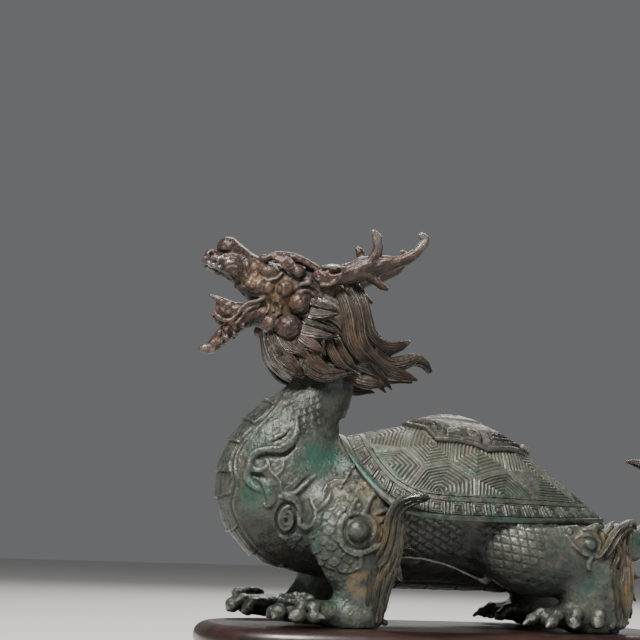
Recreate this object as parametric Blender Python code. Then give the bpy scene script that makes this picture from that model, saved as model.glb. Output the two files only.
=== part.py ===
"""Bronze dragon turtle standing on an oval hardwood plinth.

The beast faces -X and its left side faces -Y. The origin is on the floor under the middle of the
plinth. Every form below is given in millimetres above the plinth's top, and scaled to metres once.
"""

import math

import bmesh
import bpy
import numpy as np
from mathutils import Matrix, Vector

MM = 0.001

# The plinth.
PLINTH_HEIGHT = 22.0
PLINTH_TOP_HALF_LENGTH = 109.5
PLINTH_TOP_HALF_WIDTH = 56.0
PLINTH_FOOT_FLARE = 12.5
PLINTH_OVAL_POWER = 3.0
PLINTH_SIDES = 56
SEAT_GAP = 0.3

# The shell: the margin's height and reach in the four directions round its apex.
SHELL_APEX_X = 4.0
SHELL_APEX_HEIGHT = 99.0
SHELL_FRONT_REACH = 53.0
SHELL_REAR_REACH = 81.0
SHELL_HALF_WIDTH = 48.0
SHELL_FRONT_HEIGHT = 88.5
SHELL_FRONT_FLARE = 2.5
SHELL_SIDE_HEIGHT = 49.0
SHELL_REAR_HEIGHT = 52.5
SHELL_RIM_DROP = 3.0
CROWN_RISE = 4.2

# The casting's limbs.
FRONT_LEG_Y = 34.0
HIND_LEG_Y = 37.0
FAR_FORE_STEP = 11.0
LEG_SIDES = 14

# The casting is fused on this grid, then thinned to a sculptor's facets.
FUSE_GRID = 1.15
FACET_COUNT = 8400

NEAR = -1
FAR = 1


def smooth_through(stations, per_span=4):
    """Rows of a Catmull-Rom curve through the stations, with every column eased together."""
    rows = np.array(stations, float)
    padded = np.vstack([2 * rows[0] - rows[1], rows, 2 * rows[-1] - rows[-2]])
    t = np.linspace(0.0, 1.0, per_span, endpoint=False)[:, None]
    spans = []
    for a, b, c, d in zip(padded, padded[1:], padded[2:], padded[3:]):
        cubic = -a + 3 * b - 3 * c + d
        square = 2 * a - 5 * b + 4 * c - d
        spans.append(0.5 * (2 * b + (c - a) * t + square * t**2 + cubic * t**3))
    spans.append(rows[-1:])
    return np.vstack(spans)


def closed_rings(sculpture, rings):
    """Adds a closed skin over rings of points, from the first ring to the last."""
    made = [[sculpture.verts.new(point) for point in ring] for ring in rings]
    count = len(made[0])
    for lower, upper in zip(made, made[1:]):
        for i in range(count):
            j = (i + 1) % count
            sculpture.faces.new((lower[i], lower[j], upper[j], upper[i]))
    for ring, turned in ((made[0], True), (made[-1], False)):
        middle = sum((vert.co for vert in ring), Vector()) / count
        hub = sculpture.verts.new(middle)
        for i in range(count):
            a, b = ring[i], ring[(i + 1) % count]
            sculpture.faces.new((b, a, hub) if turned else (a, b, hub))


def limb(sculpture, stations, sides=16, per_span=4):
    """A tapering limb. A station is x, y, z, half width across, half depth; both ends are round."""
    rows = smooth_through(stations, per_span)
    centre = rows[:, :3]
    half = np.maximum(rows[:, 3:5], 0.15)
    along = np.gradient(centre, axis=0)
    along /= np.linalg.norm(along, axis=1)[:, None]
    across = np.array([0.0, 1.0, 0.0]) - along[:, 1:2] * along
    across /= np.linalg.norm(across, axis=1)[:, None]
    deep = np.cross(along, across)
    turn = np.linspace(0.0, 2 * math.pi, sides, endpoint=False)
    rings = []
    caps = ((0, -1, (75, 50, 25)), (len(rows) - 1, 1, (25, 50, 75)))
    for end, way, angles in caps:
        cap = []
        for angle in np.radians(angles):
            reach = way * math.sin(angle) * half[end].min()
            cap.append((centre[end] + along[end] * reach, half[end] * math.cos(angle), end))
        rings.append(cap)
    body = [(centre[i], half[i], i) for i in range(len(rows))]
    skin = []
    for middle, (wide, thick), i in rings[0] + body + rings[1]:
        ring = middle + np.outer(np.cos(turn) * wide, across[i]) + np.outer(np.sin(turn) * thick, deep[i])
        skin.append(ring)
    closed_rings(sculpture, skin)


def boulder(sculpture, centre, half_sizes, pitch=0.0):
    """A rounded lump: an ellipsoid with its long axis pitched up or down about Y, in degrees."""
    place = Matrix.Translation(centre) @ Matrix.Rotation(math.radians(pitch), 4, "Y")
    place @= Matrix.Diagonal((*half_sizes, 1.0))
    bmesh.ops.create_icosphere(sculpture, subdivisions=3, radius=1.0, matrix=place)


def mirrored(stations, side):
    """The same stations on the near (-Y) or far (+Y) side. They are given for the far side."""
    return [(x, side * y, z, *rest) for x, y, z, *rest in stations]


def body_and_neck(sculpture):
    """The barrel of the body, and the neck that swells into the chest."""
    barrel = [
        (-62, 0, 57, 28, 31),
        (-40, 0, 55, 34, 36),
        (-20, 0, 56, 37, 38),
        (0, 0, 57, 38, 39),
        (20, 0, 56, 39, 38),
        (40, 0, 51, 38, 30),
        (60, 0, 45, 32, 21),
        (80, 0, 43.5, 20, 12.5),
        (94, 0, 42, 12, 9.5),
    ]
    limb(sculpture, barrel, sides=28)
    neck = [
        (-59, 0, 128, 14, 16),
        (-62, 0, 114, 17, 18),
        (-69.5, 0, 98, 20.5, 20.5),
        (-75.5, 0, 81, 26, 26.5),
        (-76, 0, 64, 30, 33),
        (-69, 0, 50, 32, 32.5),
        (-52, 0, 47, 32, 27),
        (-34, 0, 50, 32, 27),
    ]
    limb(sculpture, neck, sides=28)


def breast_plates(sculpture):
    """The row of overlapping plates down the front of the neck and chest."""
    front = smooth_through(
        [
            (-80, 113), (-93, 98), (-103, 85), (-109, 73), (-110.5, 62),
            (-108, 51), (-101, 41), (-90, 33), (-77, 27),
        ],
        3,
    )
    for (x, z), (next_x, next_z) in zip(front[:-2:2], front[2::2]):
        slope = Vector((next_x - x, 0, next_z - z)).normalized()
        out = Vector((slope.z, 0, -slope.x))
        out = out if out.x < 0 else -out
        head = Vector((x, 0, z)) - out * 3.6
        foot = Vector((next_x, 0, next_z)) + slope * 2.0 - out * 1.4
        limb(sculpture, [(*head, 8, 2.2), (*((head + foot) / 2), 9.5, 2.2), (*foot, 8, 1.6)], 10, 2)


def shell_margin(angle):
    """Reach and height of the shell's margin at an angle round the apex, 0 at the rear."""
    reach_x = SHELL_REAR_REACH if math.cos(angle) > 0 else SHELL_FRONT_REACH
    x = SHELL_APEX_X + reach_x * math.cos(angle)
    y = SHELL_HALF_WIDTH * math.copysign(abs(math.sin(angle)) ** 0.86, math.sin(angle))
    to_front = max(-math.cos(angle), 0.0) ** 3.5
    to_rear = max(math.cos(angle), 0.0) ** 3
    z = SHELL_SIDE_HEIGHT
    z += (SHELL_FRONT_HEIGHT - SHELL_SIDE_HEIGHT) * to_front
    z += (SHELL_REAR_HEIGHT - SHELL_SIDE_HEIGHT) * to_rear
    return x, y, z


def dome_fall(angle):
    """How the dome rounds off in a direction: straighter to the rear, full at the sides."""
    return 2.7 - 1.3 * max(math.cos(angle), 0.0) ** 2 - 1.1 * max(-math.cos(angle), 0.0) ** 2


def shell_point(angle, reach, height_share=1.0, lift=0.0):
    """A point of the dome: reach runs from 0 at the apex to 1 at the margin."""
    x, y, z = shell_margin(angle)
    share = (1.0 - reach ** dome_fall(angle)) * height_share
    flare = SHELL_FRONT_FLARE * max(-math.cos(angle), 0.0) ** 6 * reach**14
    return (
        SHELL_APEX_X + (x - SHELL_APEX_X) * reach,
        y * reach,
        z + (SHELL_APEX_HEIGHT - z) * share + flare + lift,
    )


def shell(sculpture, around=56):
    """The domed shell with a thick rim, closed below by a shallower dome inside the body."""
    angles = np.linspace(0.0, 2 * math.pi, around, endpoint=False)
    rings = [[shell_point(a, reach) for a in angles] for reach in (0.03, 0.15, 0.3, 0.45, 0.6, 0.72)]
    rings += [[shell_point(a, reach) for a in angles] for reach in (0.82, 0.9, 0.96)]
    rings.append([shell_point(a, 1.0, lift=1.5) for a in angles])
    rings.append([shell_point(a, 1.0, lift=-SHELL_RIM_DROP) for a in angles])
    rings.append([shell_point(a, 0.93, 0.1, -SHELL_RIM_DROP) for a in angles])
    rings.append([shell_point(a, 0.75, 0.25, -SHELL_RIM_DROP) for a in angles])
    rings.append([shell_point(a, 0.4, 0.4, -SHELL_RIM_DROP) for a in angles])
    rings.append([shell_point(a, 0.05, 0.4, -SHELL_RIM_DROP) for a in angles])
    closed_rings(sculpture, rings)


def crown_plate(sculpture, around=56, lobes=8):
    """The raised plate on the shell's ridge, with a lobed outline and a rolled edge."""
    angles = np.linspace(0.0, 2 * math.pi, around, endpoint=False)
    long_share = {a: 0.52 + 0.05 * math.cos(a) - 0.03 * math.cos(2 * a) for a in angles}
    edge = {a: long_share[a] * (1.0 + 0.035 * math.cos(lobes * a)) for a in angles}
    rise = CROWN_RISE
    layers = [(0.05, -6.0), (0.95, -6.0), (1.0, 0.4), (1.0, rise * 0.75), (0.96, rise)]
    layers += [(0.86, rise * 0.8), (0.8, rise * 0.55), (0.5, rise * 0.8), (0.2, rise), (0.04, rise)]
    rings = [[shell_point(a, edge[a] * share, lift=lift) for a in angles] for share, lift in layers]
    closed_rings(sculpture, rings)


def toe(sculpture, palm, tip):
    """One toe with a round knuckle, and the claw that curves down to the ground."""
    palm, tip = Vector(palm), Vector(tip)
    reach = tip - palm
    knuckle = palm + reach * 0.52 + Vector((0, 0, 2.2))
    first = palm + reach * 0.2
    end = palm + reach * 0.8
    stations = [
        (first.x, first.y, palm.z, 3.6, 4.0),
        (knuckle.x, knuckle.y, knuckle.z, 4.2, 4.4),
        (end.x, end.y, 4.4, 3.2, 3.6),
        (tip.x, tip.y, 2.2, 0.9, 1.2),
    ]
    limb(sculpture, stations, 10, 3)


def paw(sculpture, palm, tips, half_sizes):
    """A paw: the palm, with a toe out to each claw tip."""
    boulder(sculpture, palm, half_sizes)
    for x, y in tips:
        toe(sculpture, palm, (palm[0] + x, palm[1] + y, 0.0))


def fore_leg(sculpture, side, step):
    """A front leg: shoulder, shin, heel and paw. A positive step plants the paw further forward."""
    y = FRONT_LEG_Y
    leg = [
        (-48, y - 5, 55, 11, 21),
        (-48, y - 2, 43, 13, 20),
        (-48 - 0.2 * step, y, 30, 11, 15.5),
        (-46.5 - 0.6 * step, y + 1, 18, 8.5, 11),
        (-47.5 - 0.9 * step, y + 1.5, 9, 8, 11.5),
        (-49 - step, y + 1.5, 3, 9, 13),
    ]
    limb(sculpture, mirrored(leg, side), LEG_SIDES)
    instep = [
        (-45 - step, y + 1.5, 5, 8.5, 5.5),
        (-56 - step, y + 2, 6, 8, 5.5),
        (-67 - step, y + 3, 6.5, 9, 6),
    ]
    limb(sculpture, mirrored(instep, side), LEG_SIDES)
    palm = (-69 - step, side * (y + 3), 6.5)
    tips = [(x, side * across) for x, across in ((-16, -7), (-18.5, 2), (-13, 11), (-3, 13))]
    paw(sculpture, palm, tips, (9, 9.5, 7))


def fore_leg_hair(sculpture, side, step):
    """The flame-shaped hair behind a front leg: a curl under the shell, and tips down to the heel."""
    y = FRONT_LEG_Y + 3
    locks = [
        [(-36, y, 40, 5, 6), (-31, y + 2, 52, 4, 5), (-25, y + 4, 59, 3, 3), (-17, y + 4, 61, 2, 1.5)],
        [(-36, y, 50, 5, 9), (-34, y, 40, 4, 8), (-29, y, 36, 3, 4), (-22.5, y, 36.5, 1.5, 1.2)],
        [(-37, y, 38, 5, 10), (-35, y, 28, 4, 8), (-31, y, 23, 3, 4), (-25, y, 22, 1.5, 1.2)],
        [
            (-39, y, 26, 5, 9),
            (-38 - 0.4 * step, y, 16, 5, 8),
            (-37 - 0.8 * step, y - 1, 9, 5, 5),
            (-35 - step, y - 1, 4.5, 4, 3),
        ],
    ]
    for stations in locks:
        limb(sculpture, mirrored(stations, side), 10)


def hind_leg(sculpture, side):
    """A hind leg: the big thigh, the shin set back from it, and a paw turned outward."""
    y = HIND_LEG_Y
    boulder(sculpture, (40, side * (y - 4), 37.5), (30, 16, 21.5), pitch=6)
    leg = [
        (56, y - 3, 42, 13, 18),
        (67, y, 30, 11, 16),
        (69, y + 1, 19, 9.5, 13.5),
        (68, y + 1, 9, 9, 12),
        (69, y, 3, 9, 12),
    ]
    limb(sculpture, mirrored(leg, side), LEG_SIDES)
    instep = [(72, y, 5, 8.5, 5.5), (60, y, 7, 10, 7), (50, y + 1, 6.5, 9, 6)]
    limb(sculpture, mirrored(instep, side), LEG_SIDES)
    palm = (52, side * y, 6.5)
    tips = [(x, side * across) for x, across in ((-21, 3), (-14, 11.5), (-2, 14.5), (10, 13))]
    paw(sculpture, palm, tips, (12, 9.5, 7.5))


def hind_leg_hair(sculpture, side):
    """The hair behind a hind leg: a curl that turns up over the hock, and tips down to the heel."""
    y = HIND_LEG_Y + 2
    locks = [
        [(70, y, 38, 5, 8), (75, y + 1, 47, 4, 6), (81, y + 1, 53, 3, 3), (87.5, y + 1, 53, 1.5, 1.5)],
        [(74, y, 44, 5, 7), (80, y, 33, 4, 6), (84, y, 26, 3, 4), (88, y, 25, 1.5, 1.5)],
        [(74, y, 32, 5, 8), (79, y, 20, 4, 6), (82, y, 13, 3, 3), (85.5, y, 12, 1.5, 1.5)],
        [(74, y - 1, 18, 5, 7), (77, y - 1, 9, 5, 5), (79, y - 1, 4.5, 4, 3)],
    ]
    for stations in locks:
        limb(sculpture, mirrored(stations, side), 10)


def joint_bosses(sculpture, side):
    """The cast balls in their rings: a large one on the shoulder, a small one at the knee."""
    boulder(sculpture, (-46, side * (FRONT_LEG_Y + 9.5), 43.5), (8.2, 4.0, 8.2))
    boulder(sculpture, (-46, side * (FRONT_LEG_Y + 12.5), 43.5), (5.2, 3.4, 5.2))
    boulder(sculpture, (61.5, side * (HIND_LEG_Y + 10.5), 41), (3.6, 3.2, 3.6))
    crest = [(50, 45, 45), (57, 45, 52), (64, 44, 53), (71, 42, 51)]
    for x, y, z in crest:
        stations = [(x - 1, y - 3, z - 8, 3, 4), (x, y - 1, z - 2, 2.5, 3), (x + 1, y, z + 3, 1, 1)]
        limb(sculpture, mirrored(stations, side), 8)


def tail(sculpture):
    """The tail leaves under the shell, turns up, and ends in three locks of hair."""
    stem = [
        (84, 0, 44, 13, 11),
        (96, 0, 42, 10, 9),
        (106.5, 0, 43, 8, 8),
        (113, 0, 51, 6.5, 6.5),
        (114.5, 0, 62, 5.5, 5.5),
        (113.5, 0, 73, 5, 5),
    ]
    limb(sculpture, stem)
    locks = [
        [(114, 0, 68, 5, 5), (112, -1, 79, 5, 5), (106.5, -1, 84, 3.2, 3.4), (100.5, 0, 83.5, 1.2, 1.2)],
        [(114, 0, 72, 5, 5), (114, 1, 86, 4.5, 5), (113, 1, 96, 3, 3.2), (109, 0, 102, 1.2, 1.2)],
        [(114, 0, 66, 4, 4), (116.5, 1, 78, 4, 3.5), (118, 1, 90, 2.8, 2.6), (117, 0, 99, 1.2, 1.2)],
    ]
    for stations in locks:
        limb(sculpture, stations, 12)


def head(sculpture):
    """Skull, blunt snout with its nose ball and curled lip, and the dropped lower jaw."""
    skull = [
        (-48, 0, 156, 14, 14),
        (-60, 0, 158, 17, 16),
        (-74, 0, 158.5, 17, 16),
        (-86, 0, 162, 14, 13),
        (-96, 0, 168, 10.5, 9),
        (-106, 0, 173, 9, 6.5),
        (-114, 0, 174.5, 8, 4.5),
        (-119, 0, 175.5, 5.5, 2.2),
    ]
    limb(sculpture, skull, 20)
    boulder(sculpture, (-109, 0, 180.5), (6, 7, 6))
    jaw = [
        (-82, 0, 148, 14, 10),
        (-92, 0, 148.5, 10, 6.5),
        (-101, 0, 144.5, 7.5, 5),
        (-110, 0, 136.5, 6, 4.2),
        (-119, 0, 130.5, 3.6, 2.6),
    ]
    limb(sculpture, jaw, 14)
    tongue = [(-92, 0, 152, 5, 3), (-104, 0, 152, 4, 2), (-111, 0, 155, 2.8, 1.8), (-116.5, 0, 157, 1.2, 1)]
    limb(sculpture, tongue, 10)
    whisker_curl = [
        (-92, 0, 150, 6, 3),
        (-101, 0, 146, 6, 2.4),
        (-107, 0, 144, 6, 2.2),
        (-113.5, 0, 148, 4.5, 1.6),
    ]
    limb(sculpture, whisker_curl, 10)


def face(sculpture, side):
    """One side of the face: brow, eye, cheek lumps, and the ear."""
    brow = [(-92, 6, 174, 5, 3), (-82, 10, 176, 5, 3.2), (-70, 12.5, 173, 5, 3)]
    limb(sculpture, mirrored(brow, side), 10)
    lumps = [
        ((-88.5, 12.5, 167), 4.6),
        ((-79, 15.5, 160), 3.6),
        ((-88, 13, 158.5), 3.2),
        ((-72, 17, 153.5), 5.0),
        ((-88.5, 13, 143.5), 4.2),
        ((-79, 16.5, 141), 6.2),
        ((-76, 13, 168.5), 4.0),
    ]
    for (x, y, z), half in lumps:
        boulder(sculpture, (x, side * y, z), (half, half, half))
    ear = [(-66, 14, 168, 3.5, 4), (-59, 18.5, 169.5, 2.5, 4), (-52.5, 21.5, 167.5, 1, 1.2)]
    limb(sculpture, mirrored(ear, side), 10)


def antler(sculpture, side):
    """A branched antler: the beam with its knobbed tip, a tine up and a short tine down."""
    beam = [
        (-60, 9, 166, 4.5, 5),
        (-49, 12.5, 170, 4.5, 5),
        (-38, 16, 174, 4, 5.5),
        (-28, 18.5, 175, 3.2, 3.6),
        (-19.5, 20, 178.5, 2.8, 2.8),
        (-14.5, 20.5, 184.5, 2.5, 2.5),
        (-14, 20.5, 188, 2, 2.2),
    ]
    limb(sculpture, mirrored(beam, side), 12)
    up_tine = [(-39, 16, 173, 4, 4.4), (-37.5, 18, 182, 2.8, 2.9), (-38.5, 19.5, 189, 2.3, 2.4)]
    limb(sculpture, mirrored(up_tine, side), 12)
    low_tine = [(-43, 15, 170, 3, 3.4), (-37, 17, 165.5, 2.2, 2.2), (-32.5, 18, 162, 1, 1)]
    limb(sculpture, mirrored(low_tine, side), 10)


def mane(sculpture):
    """The swept mass of hair behind the head, and the collar of hair round the neck."""
    mass = [
        (-66, 0, 152, 19, 18),
        (-54, 0, 146, 20.5, 17),
        (-45, 0, 134, 18, 14),
        (-37, 0, 126, 14, 8),
    ]
    limb(sculpture, mass, 20)
    collar = [(-70, 0, 144, 18.5, 20), (-68, 0, 134, 19.5, 21), (-65, 0, 124, 19.5, 19), (-62, 0, 118, 18.5, 16)]
    limb(sculpture, collar, 20)
    locks = [
        [(-44, 0, 148, 13, 9), (-35, 0, 139, 10, 6), (-26, 0, 136.5, 6, 4), (-17, 0, 138.5, 2, 1.3)],
        [(-40, 0, 134, 14, 8), (-28, 0, 128, 10, 5), (-17, 0, 131.5, 6, 3.5), (-9, 0, 130.5, 4, 2.5), (-5, 0, 126, 1.5, 1.2)],
        [(-38, 0, 128, 14, 6), (-26, 0, 122.5, 9, 4), (-13, 0, 120.5, 2.5, 1.5)],
    ]
    for stations in locks:
        limb(sculpture, stations, 14)
    for side in (NEAR, FAR):
        outer = [
            [(-46, 12, 150, 6, 8), (-36, 13, 138, 5, 6), (-28, 12, 133, 3.5, 4), (-19, 10, 134, 1.5, 1.5)],
            [(-46, 14, 138, 6, 8), (-35, 14, 127, 5, 5), (-25, 12, 124, 3.5, 3), (-15, 9, 126, 1.5, 1.5)],
            [(-58, 14, 124, 6, 6), (-50, 15, 116, 5, 3.6), (-42, 14, 114.5, 4, 2.8), (-31, 12, 118.5, 1.5, 1.2)],
        ]
        for stations in outer:
            limb(sculpture, mirrored(stations, side), 10)


def fused(sculpture, name):
    """One closed bronze skin over every form, thinned to the facet count."""
    raw = bpy.data.meshes.new(name + "_forms")
    sculpture.to_mesh(raw)
    sculpture.free()
    helper = bpy.data.objects.new(name + "_forms", raw)
    bpy.context.scene.collection.objects.link(helper)
    fuse = helper.modifiers.new("fuse", "REMESH")
    fuse.mode = "VOXEL"
    fuse.voxel_size = FUSE_GRID * MM
    fuse.adaptivity = 0.0
    graph = bpy.context.evaluated_depsgraph_get()
    dense = bpy.data.meshes.new_from_object(helper.evaluated_get(graph))
    helper.modifiers.clear()
    helper.data = dense
    thin = helper.modifiers.new("thin", "DECIMATE")
    thin.ratio = FACET_COUNT / (2 * len(dense.polygons))
    thin.use_collapse_triangulate = True
    graph = bpy.context.evaluated_depsgraph_get()
    skin = bpy.data.meshes.new_from_object(helper.evaluated_get(graph))
    bpy.data.objects.remove(helper)
    return skin


def largest_body_only(skin):
    """Drops any pocket that the fused forms close in, and keeps the outer skin."""
    left = set(skin.verts)
    bodies = []
    while left:
        seed = left.pop()
        found, front = {seed}, [seed]
        while front:
            vert = front.pop()
            for edge in vert.link_edges:
                other = edge.other_vert(vert)
                if other in left:
                    left.discard(other)
                    found.add(other)
                    front.append(other)
        bodies.append(found)
    bodies.sort(key=len)
    for body in bodies[:-1]:
        bmesh.ops.delete(skin, geom=list(body), context="VERTS")


def flat_footed(mesh, height):
    """Cuts the skin off flat at the height of the seat, and closes each cut sole."""
    skin = bmesh.new()
    skin.from_mesh(mesh)
    largest_body_only(skin)
    everything = list(skin.verts) + list(skin.edges) + list(skin.faces)
    bmesh.ops.bisect_plane(
        skin,
        geom=everything,
        dist=1e-7,
        plane_co=(0, 0, height),
        plane_no=(0, 0, 1),
        clear_inner=True,
    )
    rims = [edge for edge in skin.edges if edge.is_boundary]
    bmesh.ops.holes_fill(skin, edges=rims, sides=0)
    bmesh.ops.triangulate(skin, faces=list(skin.faces))
    bmesh.ops.recalc_face_normals(skin, faces=list(skin.faces))
    skin.to_mesh(mesh)
    skin.free()


def finish(name, colour, roughness, metallic):
    """A Principled material."""
    material = bpy.data.materials.new(name)
    material.use_nodes = True
    shader = material.node_tree.nodes["Principled BSDF"]
    shader.inputs["Base Color"].default_value = (*colour, 1.0)
    shader.inputs["Roughness"].default_value = roughness
    shader.inputs["Metallic"].default_value = metallic
    return material


def dragon_turtle():
    """The bronze casting, standing on the plinth with a hair's gap under its soles."""
    sculpture = bmesh.new()
    body_and_neck(sculpture)
    breast_plates(sculpture)
    shell(sculpture)
    crown_plate(sculpture)
    fore_leg(sculpture, NEAR, 0.0)
    fore_leg(sculpture, FAR, FAR_FORE_STEP)
    fore_leg_hair(sculpture, NEAR, 0.0)
    fore_leg_hair(sculpture, FAR, FAR_FORE_STEP)
    for side in (NEAR, FAR):
        hind_leg(sculpture, side)
        hind_leg_hair(sculpture, side)
        joint_bosses(sculpture, side)
        face(sculpture, side)
        antler(sculpture, side)
    head(sculpture)
    mane(sculpture)
    tail(sculpture)
    place = Matrix.Scale(MM, 4) @ Matrix.Translation((0, 0, PLINTH_HEIGHT))
    bmesh.ops.transform(sculpture, matrix=place, verts=list(sculpture.verts))
    bmesh.ops.recalc_face_normals(sculpture, faces=list(sculpture.faces))
    mesh = fused(sculpture, "bronze_dragon_turtle")
    flat_footed(mesh, (PLINTH_HEIGHT + SEAT_GAP) * MM)
    mesh.name = "bronze_dragon_turtle"
    statue = bpy.data.objects.new("bronze_dragon_turtle", mesh)
    bpy.context.scene.collection.objects.link(statue)
    mesh.materials.clear()
    mesh.materials.append(finish("patinated_bronze", (0.12, 0.13, 0.10), 0.45, 0.8))
    return statue


def oval(half_length, half_width, height):
    """A ring of points on a squarish oval."""
    ring = []
    for step in range(PLINTH_SIDES):
        angle = 2 * math.pi * step / PLINTH_SIDES
        c, s = math.cos(angle), math.sin(angle)
        x = math.copysign(abs(c) ** (2 / PLINTH_OVAL_POWER), c) * half_length
        y = math.copysign(abs(s) ** (2 / PLINTH_OVAL_POWER), s) * half_width
        ring.append((x, y, height))
    return ring


def plinth():
    """The oval stand: a flared foot, a hollow moulding and a rounded top edge."""
    levels = [
        (1.0, 0.0),
        (1.0, 4.5),
        (0.92, 6.0),
        (0.66, 7.5),
        (0.50, 10.0),
        (0.56, 12.5),
        (0.60, 15.5),
        (0.54, 18.5),
        (0.36, 20.6),
        (0.05, PLINTH_HEIGHT),
    ]
    wood = bmesh.new()
    rings = []
    for share, height in levels:
        out = PLINTH_FOOT_FLARE * share
        rings.append(oval(PLINTH_TOP_HALF_LENGTH + out, PLINTH_TOP_HALF_WIDTH + out, height))
    closed_rings(wood, rings)
    bmesh.ops.transform(wood, matrix=Matrix.Scale(MM, 4), verts=list(wood.verts))
    bmesh.ops.recalc_face_normals(wood, faces=list(wood.faces))
    mesh = bpy.data.meshes.new("hardwood_plinth")
    wood.to_mesh(mesh)
    wood.free()
    stand = bpy.data.objects.new("hardwood_plinth", mesh)
    bpy.context.scene.collection.objects.link(stand)
    mesh.shade_smooth()
    mesh.set_sharp_from_angle(angle=math.radians(35))
    mesh.materials.append(finish("dark_hardwood", (0.09, 0.022, 0.012), 0.3, 0.0))
    return stand


def main():
    """Clears the scene and builds the statue and its plinth."""
    for obj in list(bpy.data.objects):
        bpy.data.objects.remove(obj)
    dragon_turtle()
    plinth()


main()
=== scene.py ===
"""Looks of the bronze dragon turtle on its hardwood plinth.

Forms are given in millimetres above the plinth's top and scaled to metres once, in Skin.placed. The beast
faces -X and its left side faces -Y. Where a form has a twin, its Y is given for the far (+Y) side.
"""

import logging
import math
from collections.abc import Callable, Sequence
from dataclasses import dataclass, field
from enum import Enum

import bpy
import numpy as np
import openvdb
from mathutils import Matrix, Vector


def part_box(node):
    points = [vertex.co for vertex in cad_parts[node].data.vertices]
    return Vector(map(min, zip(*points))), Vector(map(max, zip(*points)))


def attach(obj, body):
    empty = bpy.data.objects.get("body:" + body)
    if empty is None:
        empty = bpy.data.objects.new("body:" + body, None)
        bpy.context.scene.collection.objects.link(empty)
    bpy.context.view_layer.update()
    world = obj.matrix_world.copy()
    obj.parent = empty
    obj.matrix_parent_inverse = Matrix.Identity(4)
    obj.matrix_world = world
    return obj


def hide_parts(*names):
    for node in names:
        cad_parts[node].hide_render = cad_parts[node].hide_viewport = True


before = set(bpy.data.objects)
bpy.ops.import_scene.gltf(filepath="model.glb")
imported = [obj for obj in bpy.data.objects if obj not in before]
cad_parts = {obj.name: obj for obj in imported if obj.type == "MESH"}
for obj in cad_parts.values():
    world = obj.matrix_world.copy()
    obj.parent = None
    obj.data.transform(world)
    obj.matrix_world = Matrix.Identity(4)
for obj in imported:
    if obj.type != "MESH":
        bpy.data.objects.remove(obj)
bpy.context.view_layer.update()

Array = np.ndarray
Station = tuple[float, ...]
Stations = Sequence[Station]
Colour = tuple[float, float, float]
Corner = tuple[float, float]

MM = 0.001
STATUE = "bronze_dragon_turtle"
STAND = "hardwood_plinth"
PLINTH_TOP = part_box(STAND)[1][2] / MM
SOLE = 0.3  # height of the soles over the plinth's top
FAR_OFF = 9.0  # the distance held where there is no clay
LOG = logging.getLogger("dragon_turtle")


class Side(Enum):
    """The two sides of the beast."""

    NEAR = -1
    FAR = 1


# ---------------------------------------------------------------- curves and skins


def eased(stations: Stations, per_span: int = 4) -> Array:
    """A Catmull-Rom curve through the stations.

    Each span is the cubic set by its two ends and their neighbours.

    Args:
        stations: Rows of numbers; every column is eased. A row that is a number short repeats its last.
        per_span: Rows made for each span.

    Returns:
        The rows of the curve, ending on the last station.
    """
    most = max(map(len, stations))
    rows = np.array([(*row, row[-1]) if len(row) < most else row for row in stations], float)
    padded = np.vstack([2 * rows[0] - rows[1], rows, 2 * rows[-1] - rows[-2]])
    a, b, c, d = (padded[i : i + len(rows) - 1, None] for i in range(4))
    t = np.linspace(0.0, 1.0, per_span, endpoint=False)[None, :, None]
    curve = 0.5 * (2 * b + (c - a) * t + (2 * a - 5 * b + 4 * c - d) * t**2 + (3 * b - a - 3 * c + d) * t**3)
    return np.vstack([curve.reshape(-1, rows.shape[1]), rows[-1:]])


def mirrored(stations: Stations, side: Side) -> list[Station]:
    """The stations, given for the far side, on the side asked for."""
    return [(x, side.value * y, *rest) for x, y, *rest in stations]


def stepped(stations: Stations, step: float) -> list[Station]:
    """The stations slid forward, the more the nearer they are to the ground (none above 40 mm)."""
    return [(x - step * min(1.0, max(0.0, 1 - z / 40)), y, z, *rest) for x, y, z, *rest in stations]


def frames_along(centre: Array) -> tuple[Array, Array, Array]:
    """Unit directions at each point of a path: along it, across it (as near to Y as can be) and deep.

    Args:
        centre: Points of the path.

    Returns:
        The along, across and deep directions, one row for each point.
    """
    along = np.gradient(centre, axis=0)
    along /= np.linalg.norm(along, axis=1)[:, None] + 1e-9
    across = np.array([0.0, 1.0, 0.0]) - along[:, 1:2] * along
    across /= np.linalg.norm(across, axis=1)[:, None] + 1e-9
    return along, across, np.cross(along, across)


def smooth(value: Array, low: float, high: float) -> Array:
    """0 below low and 1 above high, with an eased rise between (3t^2 - 2t^3)."""
    t = np.clip((value - low) / (high - low), 0.0, 1.0)
    return t * t * (3 - 2 * t)


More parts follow.
